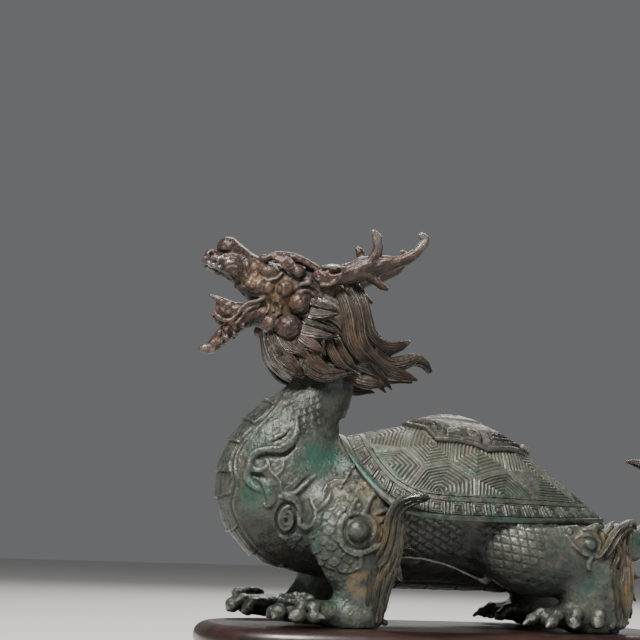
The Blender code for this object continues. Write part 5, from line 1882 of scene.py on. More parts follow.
@dataclass
class Shell:
    """The domed shell: nested cells between the crown plate and a band of nested squares."""

    apex_x: float = 4.0
    apex_height: float = 99.0
    front_reach: float = 56.0
    rear_reach: float = 81.0
    half_width: float = 48.0
    front_height: float = 88.5
    side_height: float = 49.0
    rear_height: float = 52.5
    front_flare: float = 2.5
    rim_drop: float = 1.6
    margin: float = 3.4
    fret: tuple[float, float] = (3.9, 10.2)
    strip: tuple[float, float] = (10.6, 13.1)
    band: float = 13.4
    groove: float = 0.72
    pitch: float = 2.05
    square: float = 19.6
    cutback: float = 1.9
    angles: Array = field(init=False)
    lengths: Array = field(init=False)
    bearing: Array = field(init=False)
    back: Array = field(init=False)

    def __post_init__(self) -> None:
        """Tables that take a point of the dome to the flat plan of the pattern, and back."""
        self.angles = np.radians(np.arange(-180.0, 181.0))
        reach = np.linspace(0, 1, 161)
        dome = self.point(self.angles[:, None], reach[None])
        steps = np.linalg.norm(np.diff(dome, axis=1), axis=2)
        self.lengths = np.concatenate([np.zeros((len(steps), 1)), np.cumsum(steps, 1)], 1)
        self.bearing = np.unwrap(np.arctan2(dome[:, -1, 1], dome[:, -1, 0] - self.apex_x))
        self.bearing[0], self.bearing[-1] = -np.pi, np.pi
        share = np.linspace(0, 1, 241)
        self.back = np.stack([np.interp(share * row[-1], row, reach) for row in self.lengths])

    def point(self, angle: Array | float, reach: Array | float) -> Array:
        """A point of the dome. Its height falls from the apex to the margin as 1 - reach^e.

        The margin is an oval at the rear and squarer at the front, where it also climbs toward the neck.

        Args:
            angle: Angle round the apex, 0 at the rear.
            reach: 0 at the apex, 1 at the margin.

        Returns:
            The points, with x, y and z last.
        """
        c, s = np.cos(angle), np.sin(angle)
        rear, fore = np.maximum(c, 0), np.maximum(-c, 0)
        x = self.rear_reach * rear - self.front_reach * fore**0.74
        y = self.half_width * np.sign(s) * np.abs(s) ** (0.86 - 0.12 * fore)
        climb = (self.front_height - self.side_height) * (0.86 * fore**2.6 + 0.14 * fore**30)
        z = self.side_height + climb + (self.rear_height - self.side_height) * rear**3
        share = 1 - reach ** (2.7 - 1.3 * rear**2 - 1.1 * fore**2)
        height = z + (self.apex_height - z) * share + self.front_flare * fore**6 * reach**14
        return np.stack([self.apex_x + x * reach, y * reach, height + 0 * x], -1)

    def raised(self, angle: Array | float, reach: Array | float, height: Array | float) -> Array:
        """A point of the dome moved out along its normal, which is the cross product of its two slopes.

        Args:
            angle: Angle round the apex.
            reach: Share of the way to the margin.
            height: Distance out from the dome.

        Returns:
            The point's place.
        """
        here = self.point(angle, reach)
        inner = self.point(angle, np.maximum(reach - 0.004, 0.001))
        turned = self.point(angle + 0.004, reach)
        normal = np.cross(here - inner, turned - here)
        normal /= np.linalg.norm(normal, axis=-1)[..., None] + 1e-12
        return here + normal * np.asarray(height)[..., None]

    def over(self, x: Array, y: Array) -> tuple[Array, Array]:
        """The dome straight above points of the ground.

        Args:
            x: X of each point.
            y: Y of each point.

        Returns:
            The dome's height there, and the reach, which goes on growing past the margin.
        """
        angle = np.interp(np.arctan2(y, x - self.apex_x), self.bearing, self.angles)
        edge = self.point(angle, 1.0)
        reach = np.hypot(x - self.apex_x, y) / (np.hypot(edge[..., 0] - self.apex_x, edge[..., 1]) + 1e-6)
        return self.point(angle, np.minimum(reach, 1.0))[..., 2], reach

    def room(self, x: Array, y: Array, z: Array) -> Array:
        """How far a point stands above the space that the body may fill under the shell and just round it.

        The space opens outward from the margin, steeply at the neck; well above the shell the neck is free.

        Args:
            x: X of each point.
            y: Y of each point.
            z: Z of each point.

        Returns:
            The distance, below 0 inside that space.
        """
        height, reach = self.over(x, y)
        at_neck = 500 * (1 - smooth(np.abs(y), 15, 25)) * (1 - smooth(x, -44, -38))
        slope = 115 - 97 * smooth(x, -20, 0) + at_neck
        return np.minimum(z - (height - 2.1 + slope * np.maximum(reach - 1.0, 0.0)), height + 8 - z)

    def length_to_margin(self, angle: Array) -> Array:
        """Length along the dome from the apex to the margin."""
        turned = (angle + np.pi) % (2 * np.pi) - np.pi
        return np.interp(turned, self.angles, self.lengths[:, -1])

    def plan(self, angle: Array, walked: Array) -> Array:
        """The plan of the pattern: each point lies at its length from the apex, in its true direction.

        Args:
            angle: Angle round the apex.
            walked: Length along the dome from the apex.

        Returns:
            The place on the plan.
        """
        turned = (angle + np.pi) % (2 * np.pi) - np.pi
        way = np.interp(turned, self.angles, self.bearing)
        return np.stack([walked * np.cos(way), walked * np.sin(way)], -1)

    def from_plan(self, flat: Array) -> tuple[Array, Array]:
        """Angle and reach of points of the plan, read from the tables.

        Args:
            flat: Points of the plan.

        Returns:
            The angle round the apex, and the reach.
        """
        way = np.arctan2(flat[..., 1], flat[..., 0])
        angle = np.interp(way, self.bearing, self.angles)
        share = np.clip(np.hypot(flat[..., 0], flat[..., 1]) / self.length_to_margin(angle), 0, 1)
        row = (angle - self.angles[0]) / (self.angles[1] - self.angles[0])
        column = share * (self.back.shape[1] - 1)
        i = np.clip(row.astype(int), 0, self.back.shape[0] - 2)
        j = np.clip(column.astype(int), 0, self.back.shape[1] - 2)
        u, v = row - i, column - j
        low = self.back[i, j] * (1 - v) + self.back[i, j + 1] * v
        high = self.back[i + 1, j] * (1 - v) + self.back[i + 1, j + 1] * v
        return angle, low * (1 - u) + high * u

    def reach_at(self, angle: Array, from_margin: Array | float) -> Array:
        """Reach of the point that lies so far in from the margin along the dome."""
        return self.from_plan(self.plan(angle, self.length_to_margin(angle) - from_margin))[1]

    def spot(self, degrees: float, reach: float) -> Array:
        """A corner of the pattern on the plan.

        Args:
            degrees: Angle round the apex.
            reach: Share of the way to the margin, or BAND for the band's edge.

        Returns:
            The corner's place on the plan.
        """
        angle = np.array(math.radians(degrees))
        if reach == BAND:
            return self.plan(angle, self.length_to_margin(angle) - self.band)
        row = int(round(degrees)) + 180
        return self.plan(angle, np.interp(reach * 160, np.arange(161), self.lengths[row]))

    def outline(self, corners: Sequence[Corner]) -> Array:
        """The cell's outline on the plan, which follows the band's curve between two corners on it.

        Args:
            corners: Angle and reach of each corner, in order round the cell.

        Returns:
            The outline's points, in order.
        """
        made = []
        for (one, reach), (two, next_) in zip(corners, [*corners[1:], corners[0]]):
            made.append(self.spot(one, reach))
            if reach == BAND and next_ == BAND:
                for degrees in np.linspace(one, two, max(int(abs(two - one) / 5), 1), endpoint=False)[1:]:
                    made.append(self.spot(float(degrees), BAND))
        return np.array(made)

    def tile(self, outline: Array, focus: Array, lines: float, spacing: float = 1.0) -> Skin:
        """One raised cell with nested grooves: scaled copies of its outline run in to its focus.

        Each groove is a bell-shaped notch halfway between two ridges. Where the outline passes close to the
        focus the copies crowd, and the notch fades.

        Args:
            outline: Corners of the cell on the plan.
            focus: The point that the copies run in to.
            lines: How many ridges there are from the outline to the focus.
            spacing: Distance between points along the outline.

        Returns:
            The closed cell.
        """
        sides, pitches = [], []
        for a, b in zip(outline, np.roll(outline, -1, 0)):
            length = float(np.linalg.norm(b - a))
            if length < 0.1:
                continue
            count = max(int(round(length / spacing)), 1)
            sides.append(a + (b - a) * np.linspace(0, 1, count, endpoint=False)[:, None])
            way = (b - a) / length
            off = abs(float(way[0] * (focus[1] - a[1]) - way[1] * (focus[0] - a[0])))
            pitches.append(np.full(count, off / lines))
        border, pitch = np.vstack(sides), np.concatenate(pitches)
        pitch = np.minimum(pitch, np.roll(pitch, 1))
        inward = focus - border
        border = border + 0.13 * inward / (np.linalg.norm(inward, axis=1)[:, None] + 1e-9)
        copies = np.linspace(1, 0.03, int(lines * 5) + 1)
        flat = focus + copies[:, None, None] * (border - focus)[None]
        place = ((1 - copies) * lines)[:, None]
        notch = np.exp(-((((place % 1) - 0.5) / 0.19) ** 2)) * (place < lines - 0.3)
        strength = smooth(pitch, 0.3, 1.3)[None]
        height = -self.groove * (notch * strength + 0.25 * (1 - strength))
        angle, reach = self.from_plan(flat)
        rings = self.raised(angle, reach, height)
        foot = self.raised(angle[:1], reach[:1], -1.5)
        return lofted(np.vstack([foot, rings]))

    def cells(self) -> list[Skin]:
        """The nested cells of both sides.

        Returns:
            One skin for each cell.
        """
        made = []
        for scute in SCUTES:
            for sign in (1, -1) if scute.twin else (1,):
                corners = [(sign * degrees, reach) for degrees, reach in scute.corners]
                outline, focus = self.outline(corners), self.spot(sign * scute.focus[0], scute.focus[1])
                far = np.sort(np.linalg.norm(outline - focus, axis=1))[-3:].mean()
                made.append(self.tile(outline, focus, max(round(0.83 * far / self.pitch), 4)))
        return made

    def frets(self) -> list[Skin]:
        """The band's nested squares, evenly spaced round the margin, with a plain bar between each two.

        Returns:
            One skin for each square and bar.
        """
        angle = np.linspace(-np.pi, np.pi, 1441)
        middle = self.point(angle, self.reach_at(angle, 7.0))
        walked = np.concatenate([[0], np.cumsum(np.linalg.norm(np.diff(middle, axis=0), axis=1))])
        count = 2 * int(round(walked[-1] / self.square))
        made = []
        for k in range(count):
            for first, last, lines in ((0.13, 0.87, 2.45), (0.94, 1.06, 0.4)):
                ends = np.interp((k + np.array([first, last])) % count * walked[-1] / count, walked, angle)
                corners = []
                for end, depth in zip((0, 1, 1, 0), np.repeat(self.fret, 2)):
                    at = ends[end : end + 1]
                    corners.append(self.plan(at, self.length_to_margin(at) - depth)[0])
                outline = np.array(corners)
                made.append(self.tile(outline, outline.mean(0), lines, 1.1))
        return made

    def profile(self, inset: float) -> float:
        """Height of the shell's ground at a distance in: a rolled margin, and a flat raised strip.

        Args:
            inset: Distance in from the margin.

        Returns:
            The height over the dome.
        """
        if inset < self.margin:
            return 0.75 * math.sqrt(max(1 - ((inset - 1.5) / 1.95) ** 2, 0)) - 0.25
        low, high = self.strip
        at = np.array(inset)
        return -1.0 + 0.95 * float(smooth(at, low - 0.15, low + 0.25) - smooth(at, high - 0.2, high + 0.2))

    def cut(self, angle: Array) -> Array:
        """How far the margin is cut back along the flanks and the rear; it is whole over the neck."""
        return self.cutback * (1 - smooth(-np.cos(angle), 0.2, 0.6))

    def ground(self) -> Skin:
        """The dome under the cells, its rolled margin, and the underside that closes it.

        Returns:
            The closed skin.
        """
        around = np.linspace(-np.pi, np.pi, 380, endpoint=False)
        spans = ((0, 3.9, 17), (4.5, 10, 5), (10.4, 13.4, 15))
        insets = np.concatenate([np.linspace(*span) for span in spans])
        cut = self.cut(around)
        rings = []
        for d in insets[::-1]:
            reach = self.reach_at(around, d + cut * max(1 - d / self.fret[0], 0.0))
            rings.append(self.raised(around, reach, self.profile(d)))
        inner = self.reach_at(around, 14.0)
        shares = (0.05, 0.25, 0.45, 0.6, 0.72, 0.82, 0.9, 0.96, 1)
        top = [self.raised(around, inner * share, -1.0) for share in shares]
        last = self.reach_at(around, cut)
        edge = self.point(around, last)
        under = [edge + (0, 0, lift) for lift in (-0.6, -1.1)]
        for reach, lift in ((0.995, -self.rim_drop), (0.965, -self.rim_drop - 0.2)):
            under.append(self.point(around, last * reach) + (0, 0, lift))
        for reach, drop in ((0.9, 5.0), (0.8, 7.0), (0.6, 9.0), (0.3, 11.0), (0.05, 12.0)):
            low = self.point(around, reach)
            low[:, 2] = np.minimum(low[:, 2] - drop, 0.35 * low[:, 2] + 0.65 * edge[:, 2] - 2.0)
            under.append(low)
        return lofted(np.stack(top + rings + under))

    def skin(self) -> Skin:
        """The shell's finished skin.

        Returns:
            The ground, the cells and the band's squares side by side.
        """
        skin = joined([self.ground(), *self.cells(), *self.frets()])
        skin.relieved(uneven(skin.points, (0.07, 6.0), (0.04, 2.3)))
        patina_marks(skin, 0.5)
        x, y, z = skin.points.T
        _, reach = self.over(x, y)
        outer = smooth(reach, 0.93, 0.99)
        rim = smooth(reach, 0.932, 0.948)
        teal = (1.3 * within(x, z, (-44, 72, 14, 16), 0.8) + 0.2) * outer
        teal += patches(
            x, z, (0.7, 6, 76, 16, 7, 0.9), (0.45, 20, 52, 60, 4.5, 0.9), (0.4, -30, 78, 14, 10, 0.9)
        )
        teal += 0.5 * smooth(ruffled(skin.points, 16.0, 2.0), -0.5, 0.5) * (1 - rim)
        earth = (0.06 + 0.3 * smooth(z, 68, 84)) * (0.6 + 0.4 * ruffled(skin.points, 9.0)) * (1 - rim)
        rubbed = 0.55 * (1 - 0.4 * rim) * (1 - 0.45 * smooth(x, 10, 50) * smooth(reach, 0.8, 0.86))
        skin.mark(
            teal=np.clip(teal * (0.6 + 0.6 * ruffled(skin.points, 11.0)), 0, 1),
            rust=skin.marks["dust"] * earth, wear_and_highlight=skin.marks["wear_and_highlight"] * rubbed,
            pale=(0.12 + 0.42 * smooth(z, 60, 86)) * (1 - 0.7 * rim),
            dark=0.6 * rim * (0.6 + 0.6 * ruffled(skin.points, 5.0)),
        )
        return skin


@dataclass(frozen=True)
class CrownPlate:
    """The raised plate on the shell's ridge: a rolled, cusped rim round leaf and cloud relief."""

    shell: Shell
    outline_degrees: tuple[float, ...] = (
        0, 20, 35, 50, 59, 68, 76, 84, 91, 98, 106, 112, 122, 140, 152, 164, 180
    )
    outline_reach: tuple[float, ...] = (
        0.50, 0.52, 0.545, 0.575, 0.595, 0.62, 0.645, 0.605, 0.585, 0.58, 0.575, 0.51, 0.43, 0.375, 0.36,
        0.365, 0.395,
    )
    rim: float = 2.0

    def relief(self, x: Array, y: Array, inset: Array) -> tuple[Array, Array]:
        """The plate's height over the dome, and where its skin is dark metal and not pale dust.

        Args:
            x: X of each point.
            y: Y of each point.
            inset: Its distance in from the plate's edge.

        Returns:
            The height, and the dark share, 0 to 1.
        """
        y = np.abs(y)
        roll = 0.9 + 1.2 * np.sqrt(np.clip(1 - ((inset - 0.95) / 1.0) ** 2, 0, 1))
        ground = 0.8 + 0.6 * np.exp(-(((inset - 2.5) / 0.45) ** 2))
        inside = smooth(inset, 2.8, 3.4)
        leaf = np.zeros_like(x)
        for rise, at, half in (
            (1.6, (-11, -8, -1.4, 4.7, 14, 20, 25, 28.5), (0, 8, 17, 21, 22, 20.5, 17, 0)),
            (0.9, (-9, -6, 0, 8, 15, 20, 23), (0, 7, 12.5, 14.5, 13.5, 9, 0)),
            (0.7, (-6, 0, 8, 13, 17), (0, 7, 8.5, 6, 0)),
        ):
            leaf += rise * smooth(np.interp(x, at, half) - y, 0.0, 0.9)
        on_leaf = smooth(leaf, 0.2, 0.8)
        masses, stain = np.zeros_like(x), np.zeros_like(x)
        for low, high in ((-2.8, 4.8), (7.2, 14.2)):
            lobes = np.clip(np.sin(np.pi * (x - low) / (high - low)), 0, 1) ** 0.6
            lobes = lobes * (1 + 0.22 * np.sin(2.5 * (x - low)))
            top = 3.6 + 0.125 * (low + high) + 4.0 * lobes - inset
            mass = smooth(top, 0, 0.6) * smooth(x, low, low + 0.4) * smooth(high - x, 0, 0.4)
            halo = smooth(top, -0.9, -0.3) * smooth(x, low - 0.5, low) * smooth(high - x, -0.5, 0)
            masses, stain = np.maximum(masses, mass), np.maximum(stain, halo)
        bead = 0.95 + 0.45 * np.cos(2 * np.pi * inset / 1.7) * np.cos(2 * np.pi * x / 1.9)
        beads = smooth(x, 14.6, 15.0) * smooth(19.0 - x, 0, 0.4) * bead
        rib = np.abs(np.sin(np.pi * (inset + 0.9 * np.sin((x - 19) / 3.6)) / 2.5)) ** 0.7
        ribs = smooth(x, 19.4, 20.4) * 1.5 * rib
        fronds = np.zeros_like(x)
        for path in (
            ((-22, 3), (-19, 9), (-15, 13), (-12, 16)), ((-20.6, 2), (-16.6, 8), (-12.4, 13), (-9, 17.6)),
            ((-18.6, 1), (-14.4, 7), (-10.2, 12.6), (-6.6, 18.4)),
            ((-16, 0), (-12, 6), (-8.4, 12), (-4.6, 18), (-3.2, 21)), ((-13.4, 0), (-10, 5), (-7.4, 10)),
            ((-13, 16.4), (-9.6, 19), (-6.4, 20.6)),
        ):
            _, off = along_path(x, y, eased(path, 4))
            fronds = np.maximum(fronds, 2.5 * np.exp(-((off / 0.75) ** 2)))
        low = np.maximum.reduce([2.1 * masses, 1.2 * beads, 1.3 * ribs, fronds]) * (1 - on_leaf)
        combed = 0.1 * np.sin(2 * np.pi * (y + 0.15 * x) / 1.6) * on_leaf
        edge = inset < self.rim
        stain = np.maximum(stain, smooth(ribs, 0.3, 0.8)) * (1 - on_leaf) * inside
        dim = np.where(edge, 1.0, stain + 0.8 * smooth(fronds, 0.5, 1.0) * inside)
        return np.where(edge, roll, ground) + (leaf + low) * inside + combed, np.clip(dim, 0, 1)

    def skin(self) -> Skin:
        """The plate's finished skin.

        Returns:
            The closed skin: its top rises and falls over the dome, and its foot is sunk in the shell.
        """
        angle = np.linspace(-np.pi, np.pi, 400, endpoint=False)
        reach = np.interp(np.degrees(np.abs(angle)), self.outline_degrees, self.outline_reach)
        edge = self.shell.point(angle, reach)
        span = np.linalg.norm(edge - self.shell.point(angle, 0.001), axis=1)
        inset = np.concatenate([[0.0, 0.25, 0.6, 1.0, 1.4, 1.8, 2.2, 2.6, 2.9], np.linspace(3.2, 22, 44)])
        share = np.clip(1 - inset[:, None] / span[None], 0.02, 1)
        share = np.minimum(share, np.linspace(1, 0.02, len(inset))[:, None] ** 0.55)
        here = (1 - share) * span[None]
        spread = self.shell.point(angle[None], reach[None] * share)
        height, dim = self.relief(spread[..., 0], spread[..., 1], here)
        top = self.shell.raised(angle[None] + 0 * share, reach[None] * share, height)
        foot = [self.shell.raised(angle, reach, low) for low in (-2.4, -0.6, 0.6)]
        skin = lofted(np.concatenate([np.stack(foot), top]))
        skin.mark(red=0.8 * np.concatenate([np.ones(3 * len(angle)), dim.ravel(), [1.0, 0.0]]))
        knobs = []
        for degrees in range(-42, 43, 7):
            at = 0.955 * np.interp(abs(degrees), self.outline_degrees, self.outline_reach)
            knobs.append(knob(self.shell.raised(math.radians(degrees), at, 2.9), 1.45))
        for share in np.linspace(0.5, 0.93, 7):
            knobs.append(knob(self.shell.raised(-0.03, share * self.outline_reach[0], 2.2), 1.3))
        skin = joined([skin, *knobs])
        skin.relieved(uneven(skin.points, (0.1, 4.0), (0.06, 1.8)))
        patina_marks(skin, 0.6)
        red = skin.marks["red"]
        skin.mark(
            wear_and_highlight=0.7 * skin.marks["wear_and_highlight"] * (1 - 0.6 * red), dark=np.clip(1.3 * red, 0, 1),
            pale=np.clip(0.8 - 1.3 * red, 0, 1),
        )
        return skin


def knob(middle: Array, radius: float) -> Skin:
    """A small round knob: a profile of half a circle turned about Z.

    Args:
        middle: Its middle.
        radius: Its radius.

    Returns:
        The closed skin.
    """
    rise, turn = np.radians(np.linspace(-84, 84, 14)), np.linspace(0, 2 * np.pi, 20, endpoint=False)
    ring = np.cos(rise)[:, None]
    ball = np.stack([ring * np.cos(turn), ring * np.sin(turn), np.sin(rise)[:, None] + 0 * turn], -1)
    return lofted(middle + radius * ball)


@dataclass(frozen=True)
class Plinth:
    """The oval hardwood stand: a flared foot, a hollow moulding and a rounded top edge."""

    half_length: float = 109.5
    half_width: float = 56.0
    flare: float = 12.5
    power: float = 3.0
    sides: int = 260
    profile: tuple[tuple[float, float], ...] = (
        (1.0, 0.0), (1.0, 2.2), (0.995, 4.4), (0.93, 5.8), (0.80, 6.8), (0.66, 7.6), (0.54, 9.2),
        (0.50, 10.6), (0.53, 12.0), (0.585, 13.6), (0.60, 15.4), (0.585, 17.0), (0.53, 18.7), (0.43, 20.1),
        (0.28, 21.2), (0.10, 21.9), (0.0, 22.0),
    )

    def skin(self) -> Skin:
        """The stand's skin: each ring is a squarish oval, |x/a|^3 + |y/b|^3 = 1, at its profile's reach.

        Returns:
            The closed skin.
        """
        turn = np.linspace(0, 2 * np.pi, self.sides, endpoint=False)
        sides = (np.cos(turn), np.sin(turn))
        oval = np.stack([np.sign(side) * np.abs(side) ** (2 / self.power) for side in sides], -1)
        rows = eased(self.profile, 3)
        rows[:, 1] = np.clip(rows[:, 1], 0.0, PLINTH_TOP)
        rows[:, 0] = np.clip(rows[:, 0], 0.0, 1.0)
        rings = []
        for share, height in rows:
            size = np.array([self.half_length, self.half_width]) + self.flare * share
            rings.append(np.column_stack([oval * size, np.full(self.sides, height - PLINTH_TOP)]))
        for share in (0.97, 0.9, 0.7, 0.4, 0.1):
            size = np.array([self.half_length, self.half_width]) * share
            rings.append(np.column_stack([oval * size, np.zeros(self.sides)]))
        return lofted(np.stack(rings))


# ---------------------------------------------------------------- finishes


@dataclass
class Value:
    """A number socket of a material, on which Python's operators add Math nodes."""

    board: "Board"
    socket: bpy.types.NodeSocket

    def __add__(self, other: "Value | float") -> "Value":
        """Sum."""
        return self.board.maths("ADD", self, other)

    __radd__ = __add__

    def __mul__(self, other: "Value | float") -> "Value":
        """Product."""
        return self.board.maths("MULTIPLY", self, other)

    __rmul__ = __mul__

    def __sub__(self, other: "Value | float") -> "Value":
        """Difference."""
        return self.board.maths("SUBTRACT", self, other)

    def __rsub__(self, other: "Value | float") -> "Value":
        """Difference from a number."""
        return self.board.maths("SUBTRACT", other, self)

    def held(self) -> "Value":
        """Turns the clamp of its own Math node on."""
        self.socket.node.use_clamp = True
        return self

    def above(self, low: float, high: float) -> "Value":
        """0 below low, 1 above high, and even between."""
        return ((self - low) * (1.0 / (high - low))).held()


@dataclass
class Board:
    """The node tree of one material."""

    material: bpy.types.Material

    @classmethod
    def named(cls, name: str) -> "Board":
        """An empty material with its output.

        Args:
            name: The material's name.

        Returns:
            The board that fills it.
        """
        material = bpy.data.materials.new(name)
        material.use_nodes = True
        material.node_tree.nodes.clear()
        return cls(material)

    def node(
        self, kind: str, settings: dict[str, object] | None = None,
        sockets: dict[object, object] | None = None,
    ) -> bpy.types.Node:
        """Adds a node.

        Args:
            kind: The node's type.
            settings: Its own settings, which are set first.
            sockets: Values or links of its inputs, by name or number.

        Returns:
            The node.
        """
        made = self.material.node_tree.nodes.new(kind)
        for name, value in (settings or {}).items():
            setattr(made, name, value)
        for key, value in (sockets or {}).items():
            if isinstance(value, Value):
                value = value.socket
            if isinstance(value, bpy.types.NodeSocket):
                self.material.node_tree.links.new(value, made.inputs[key])
            else:
                made.inputs[key].default_value = value
        return made

    def maths(self, operation: str, *values: "Value | float") -> Value:
        """A Math node on values and numbers."""
        made = self.node("ShaderNodeMath", {"operation": operation}, dict(enumerate(values)))
        return Value(self, made.outputs[0])

    def place(self) -> bpy.types.NodeSocket:
        """Object coordinates."""
        return self.node("ShaderNodeTexCoord").outputs["Object"]

    def mark(self, name: str) -> Value:
        """A number marked on the points of the piece."""
        return Value(self, self.node("ShaderNodeAttribute", {"attribute_name": name}).outputs["Fac"])

    def noise(
        self, size: float, detail: float = 3.0, rough: float = 0.55,
        place: bpy.types.NodeSocket | None = None, twist: float = 0.0,
    ) -> Value:
        """Noise whose blots are about so many metres across.

        Args:
            size: Width of a blot in metres.
            detail: How many finer layers are added.
            rough: How strong the finer layers are.
            place: Where it is read, the object's own place if not given.
            twist: How far it is warped.

        Returns:
            The noise, from 0 to 1.
        """
        sockets = {
            "Vector": place or self.place(), "Scale": 1 / size, "Detail": detail, "Roughness": rough,
            "Distortion": twist,
        }
        return Value(self, self.node("ShaderNodeTexNoise", {}, sockets).outputs["Fac"])

    def blend(self, share: Value | float, one: object, two: object) -> bpy.types.NodeSocket:
        """One colour passing into another.

        Args:
            share: Share of the second colour.
            one: The first colour or its socket.
            two: The second colour or its socket.

        Returns:
            The mixed colour's socket.
        """
        pair = [(*c, 1.0) if isinstance(c, tuple) else c for c in (one, two)]
        return self.node(
            "ShaderNodeMix", {"data_type": "RGBA"}, {0: share, 6: pair[0], 7: pair[1]}
        ).outputs[2]

    def bump(self, height: Value, distance: float) -> bpy.types.NodeSocket:
        """A normal bent by a height, in metres for a height of 1."""
        sockets = {"Height": height, "Distance": distance, "Strength": 1.0}
        return self.node("ShaderNodeBump", {}, sockets).outputs["Normal"]

    def finished(self, sockets: dict[object, object]) -> bpy.types.Material:
        """Joins a Principled shader with these sockets to the output.

        Args:
            sockets: Values or links of the shader's sockets.

        Returns:
            The material.
        """
        shader = self.node("ShaderNodeBsdfPrincipled", {}, sockets)
        self.node("ShaderNodeOutputMaterial", {}, {"Surface": shader.outputs[0]})
        return self.material


@dataclass(frozen=True)
class Bronze:
    """Old cast bronze: grey-green patina, dust and painted shade in the hollows, painted shade on the
    undersides, rubbed metal and painted highlights on the edges.
    """

    name: str = "old_bronze"
    patina: Colour = (0.026, 0.034, 0.029)
    patina_light: Colour = (0.105, 0.118, 0.098)
    earth: Colour = (0.120, 0.098, 0.066)
    brown: Colour = (0.030, 0.015, 0.012)
    brown_light: Colour = (0.088, 0.050, 0.038)
    crimson: Colour = (0.080, 0.021, 0.016)
    teal: Colour = (0.014, 0.092, 0.064)
    ochre: Colour = (0.23, 0.135, 0.045)
    dust: Colour = (0.175, 0.148, 0.096)
    # Near-black: painted shade in hollows and on undersides, and the darkest patina.
    dark_and_shade: Colour = (0.006, 0.007, 0.006)
    metal: Colour = (0.46, 0.44, 0.39)
    strand_count: float = 15.0

    def material(self) -> bpy.types.Material:
        """The material.

        Returns:
            Patina, dust, painted shade and rubbed metal with painted highlights, mixed by the marks on each
            piece and by noise.
        """
        board = Board.named(self.name)
        place = board.place()
        cloud, blot = board.noise(0.022, 4, 0.6, place, 0.4), board.noise(0.006, 4, 0.65, place)
        grain, fine = board.noise(0.0026, 4, 0.75, place, 0.7), board.noise(0.0012, 3, 0.6, place)
        names = ("red", "dust", "wear_and_highlight", "hollow", "shade", "pale", "rust")
        red, dust, wear_and_highlight, hollow, shade, pale, rust = map(board.mark, names)
        skin = board.blend(
            (cloud * 0.45 + blot * 0.4 + grain * 0.45).above(0.54, 0.78), self.patina, self.patina_light
        )
        skin = board.blend((grain * 0.7 + blot * 0.5).above(0.6, 0.74) * 0.6, skin, self.earth)
        brown = board.blend((blot * 0.6 + grain * 0.5).above(0.47, 0.66), self.brown, self.brown_light)
        brown = board.blend((cloud * 0.4 + blot * 0.6).above(0.52, 0.62) * 0.5, brown, self.crimson)
        tone = board.blend((red * (0.6 + cloud * 0.7)).held(), skin, brown)
        tone = board.blend(
            (board.mark("teal") * (grain * 0.6 + blot * 1.2 - 0.1)).held() * 0.85, tone, self.teal
        )
        tone = board.blend((pale * (0.2 + blot * 0.9)).held() * 0.75, tone, self.dust)
        tone = board.blend((rust * blot.above(0.36, 0.6)).held() * 0.7, tone, self.ochre)
        # Hollows go toward black as painted shade, or toward ochre where dust and earth fill them.
        crevice = (dust * 1.15 + hollow * 1.6 + (fine - 0.5) * 0.25).held()
        filled = (rust * 1.3 + (cloud - 0.52) * 1.6).held()
        tone = board.blend(
            crevice * (0.86 - filled * 0.3), tone, board.blend(filled * 0.8, self.dark_and_shade, self.ochre)
        )
        # Painted shade: the dark mark (undersides, neck, belly, paws, with the dark patina of some parts) and
        # the wide crowding mark take the tone toward black.
        low = (board.mark("dark") * (0.55 + cloud * 0.7) + shade * 1.6).held()
        tone = board.blend(low * 0.8, tone, self.dark_and_shade)
        # Rubbed metal on convex edges, with the painted highlights put into the same mark, takes the tone
        # toward a pale metal colour.
        rubbed = (wear_and_highlight * (0.3 + fine * 0.6 + grain * 0.6) * (1 - pale * 0.5) - 0.12).held()
        comb = board.node("ShaderNodeAttribute", {"attribute_name": "comb"}).outputs["Vector"]
        parts = board.node("ShaderNodeSeparateXYZ", {}, {0: comb}).outputs
        across, deep, down = (Value(board, part) for part in parts)
        turn = board.maths("ARCTAN2", deep, across)
        strand = board.maths("SINE", turn * self.strand_count + down * 3.0 + blot * 2.0)
        combed = strand * board.mark("hair")
        tone = board.blend((combed * 0.5 + 0.05).held() * 0.22, tone, self.dust)
        tone = board.blend(rubbed * 0.72, tone, self.metal)
        height = grain * 0.35 + fine * 0.35
        height = height + board.noise(0.0005, 2, 0.5, place) * 0.15 + blot * 0.4 + combed * 0.4
        return board.finished({
            "Base Color": tone, "Metallic": (0.3 + rubbed * 0.65 - crevice * 0.3 - pale * 0.15).held(),
            "Roughness": (0.33 + (grain - 0.5) * 0.45 + crevice * 0.35 + pale * 0.12 - rubbed * 0.16).held(),
            "Normal": board.bump(height, 0.0008),
        })


@dataclass(frozen=True)
class Rosewood:
    """Dark red-brown polished hardwood with long grain."""

    name: str = "polished_rosewood"
    deep: Colour = (0.008, 0.004, 0.0035)
    warm: Colour = (0.040, 0.014, 0.010)
    rubbed: Colour = (0.10, 0.050, 0.038)

    def material(self) -> bpy.types.Material:
        """The material.

        Returns:
            Long grain that runs along X under a polished coat.
        """
        board = Board.named(self.name)
        long_ = board.node(
            "ShaderNodeMapping", {}, {"Vector": board.place(), "Scale": (0.12, 1.0, 1.0)}
        ).outputs[0]
        figure, pores = board.noise(0.009, 5, 0.6, long_, 1.2), board.noise(0.0009, 3, 0.6, long_)
        cloud = board.noise(0.03, 3, 0.5)
        tone = board.blend(figure.above(0.36, 0.66), self.deep, self.warm)
        tone = board.blend((cloud.above(0.5, 0.8) * figure).held() * 0.6, tone, self.rubbed)
        tone = board.blend(pores.above(0.56, 0.7) * 0.7, tone, self.deep)
        return board.finished({
            "Base Color": tone, "Roughness": (0.26 + cloud * 0.2 + pores * 0.1).held(), "Coat Weight": 0.35,
            "Coat Roughness": 0.18, "Normal": board.bump(pores * 0.5 + figure, 0.00012),
        })


# ---------------------------------------------------------------- the studio


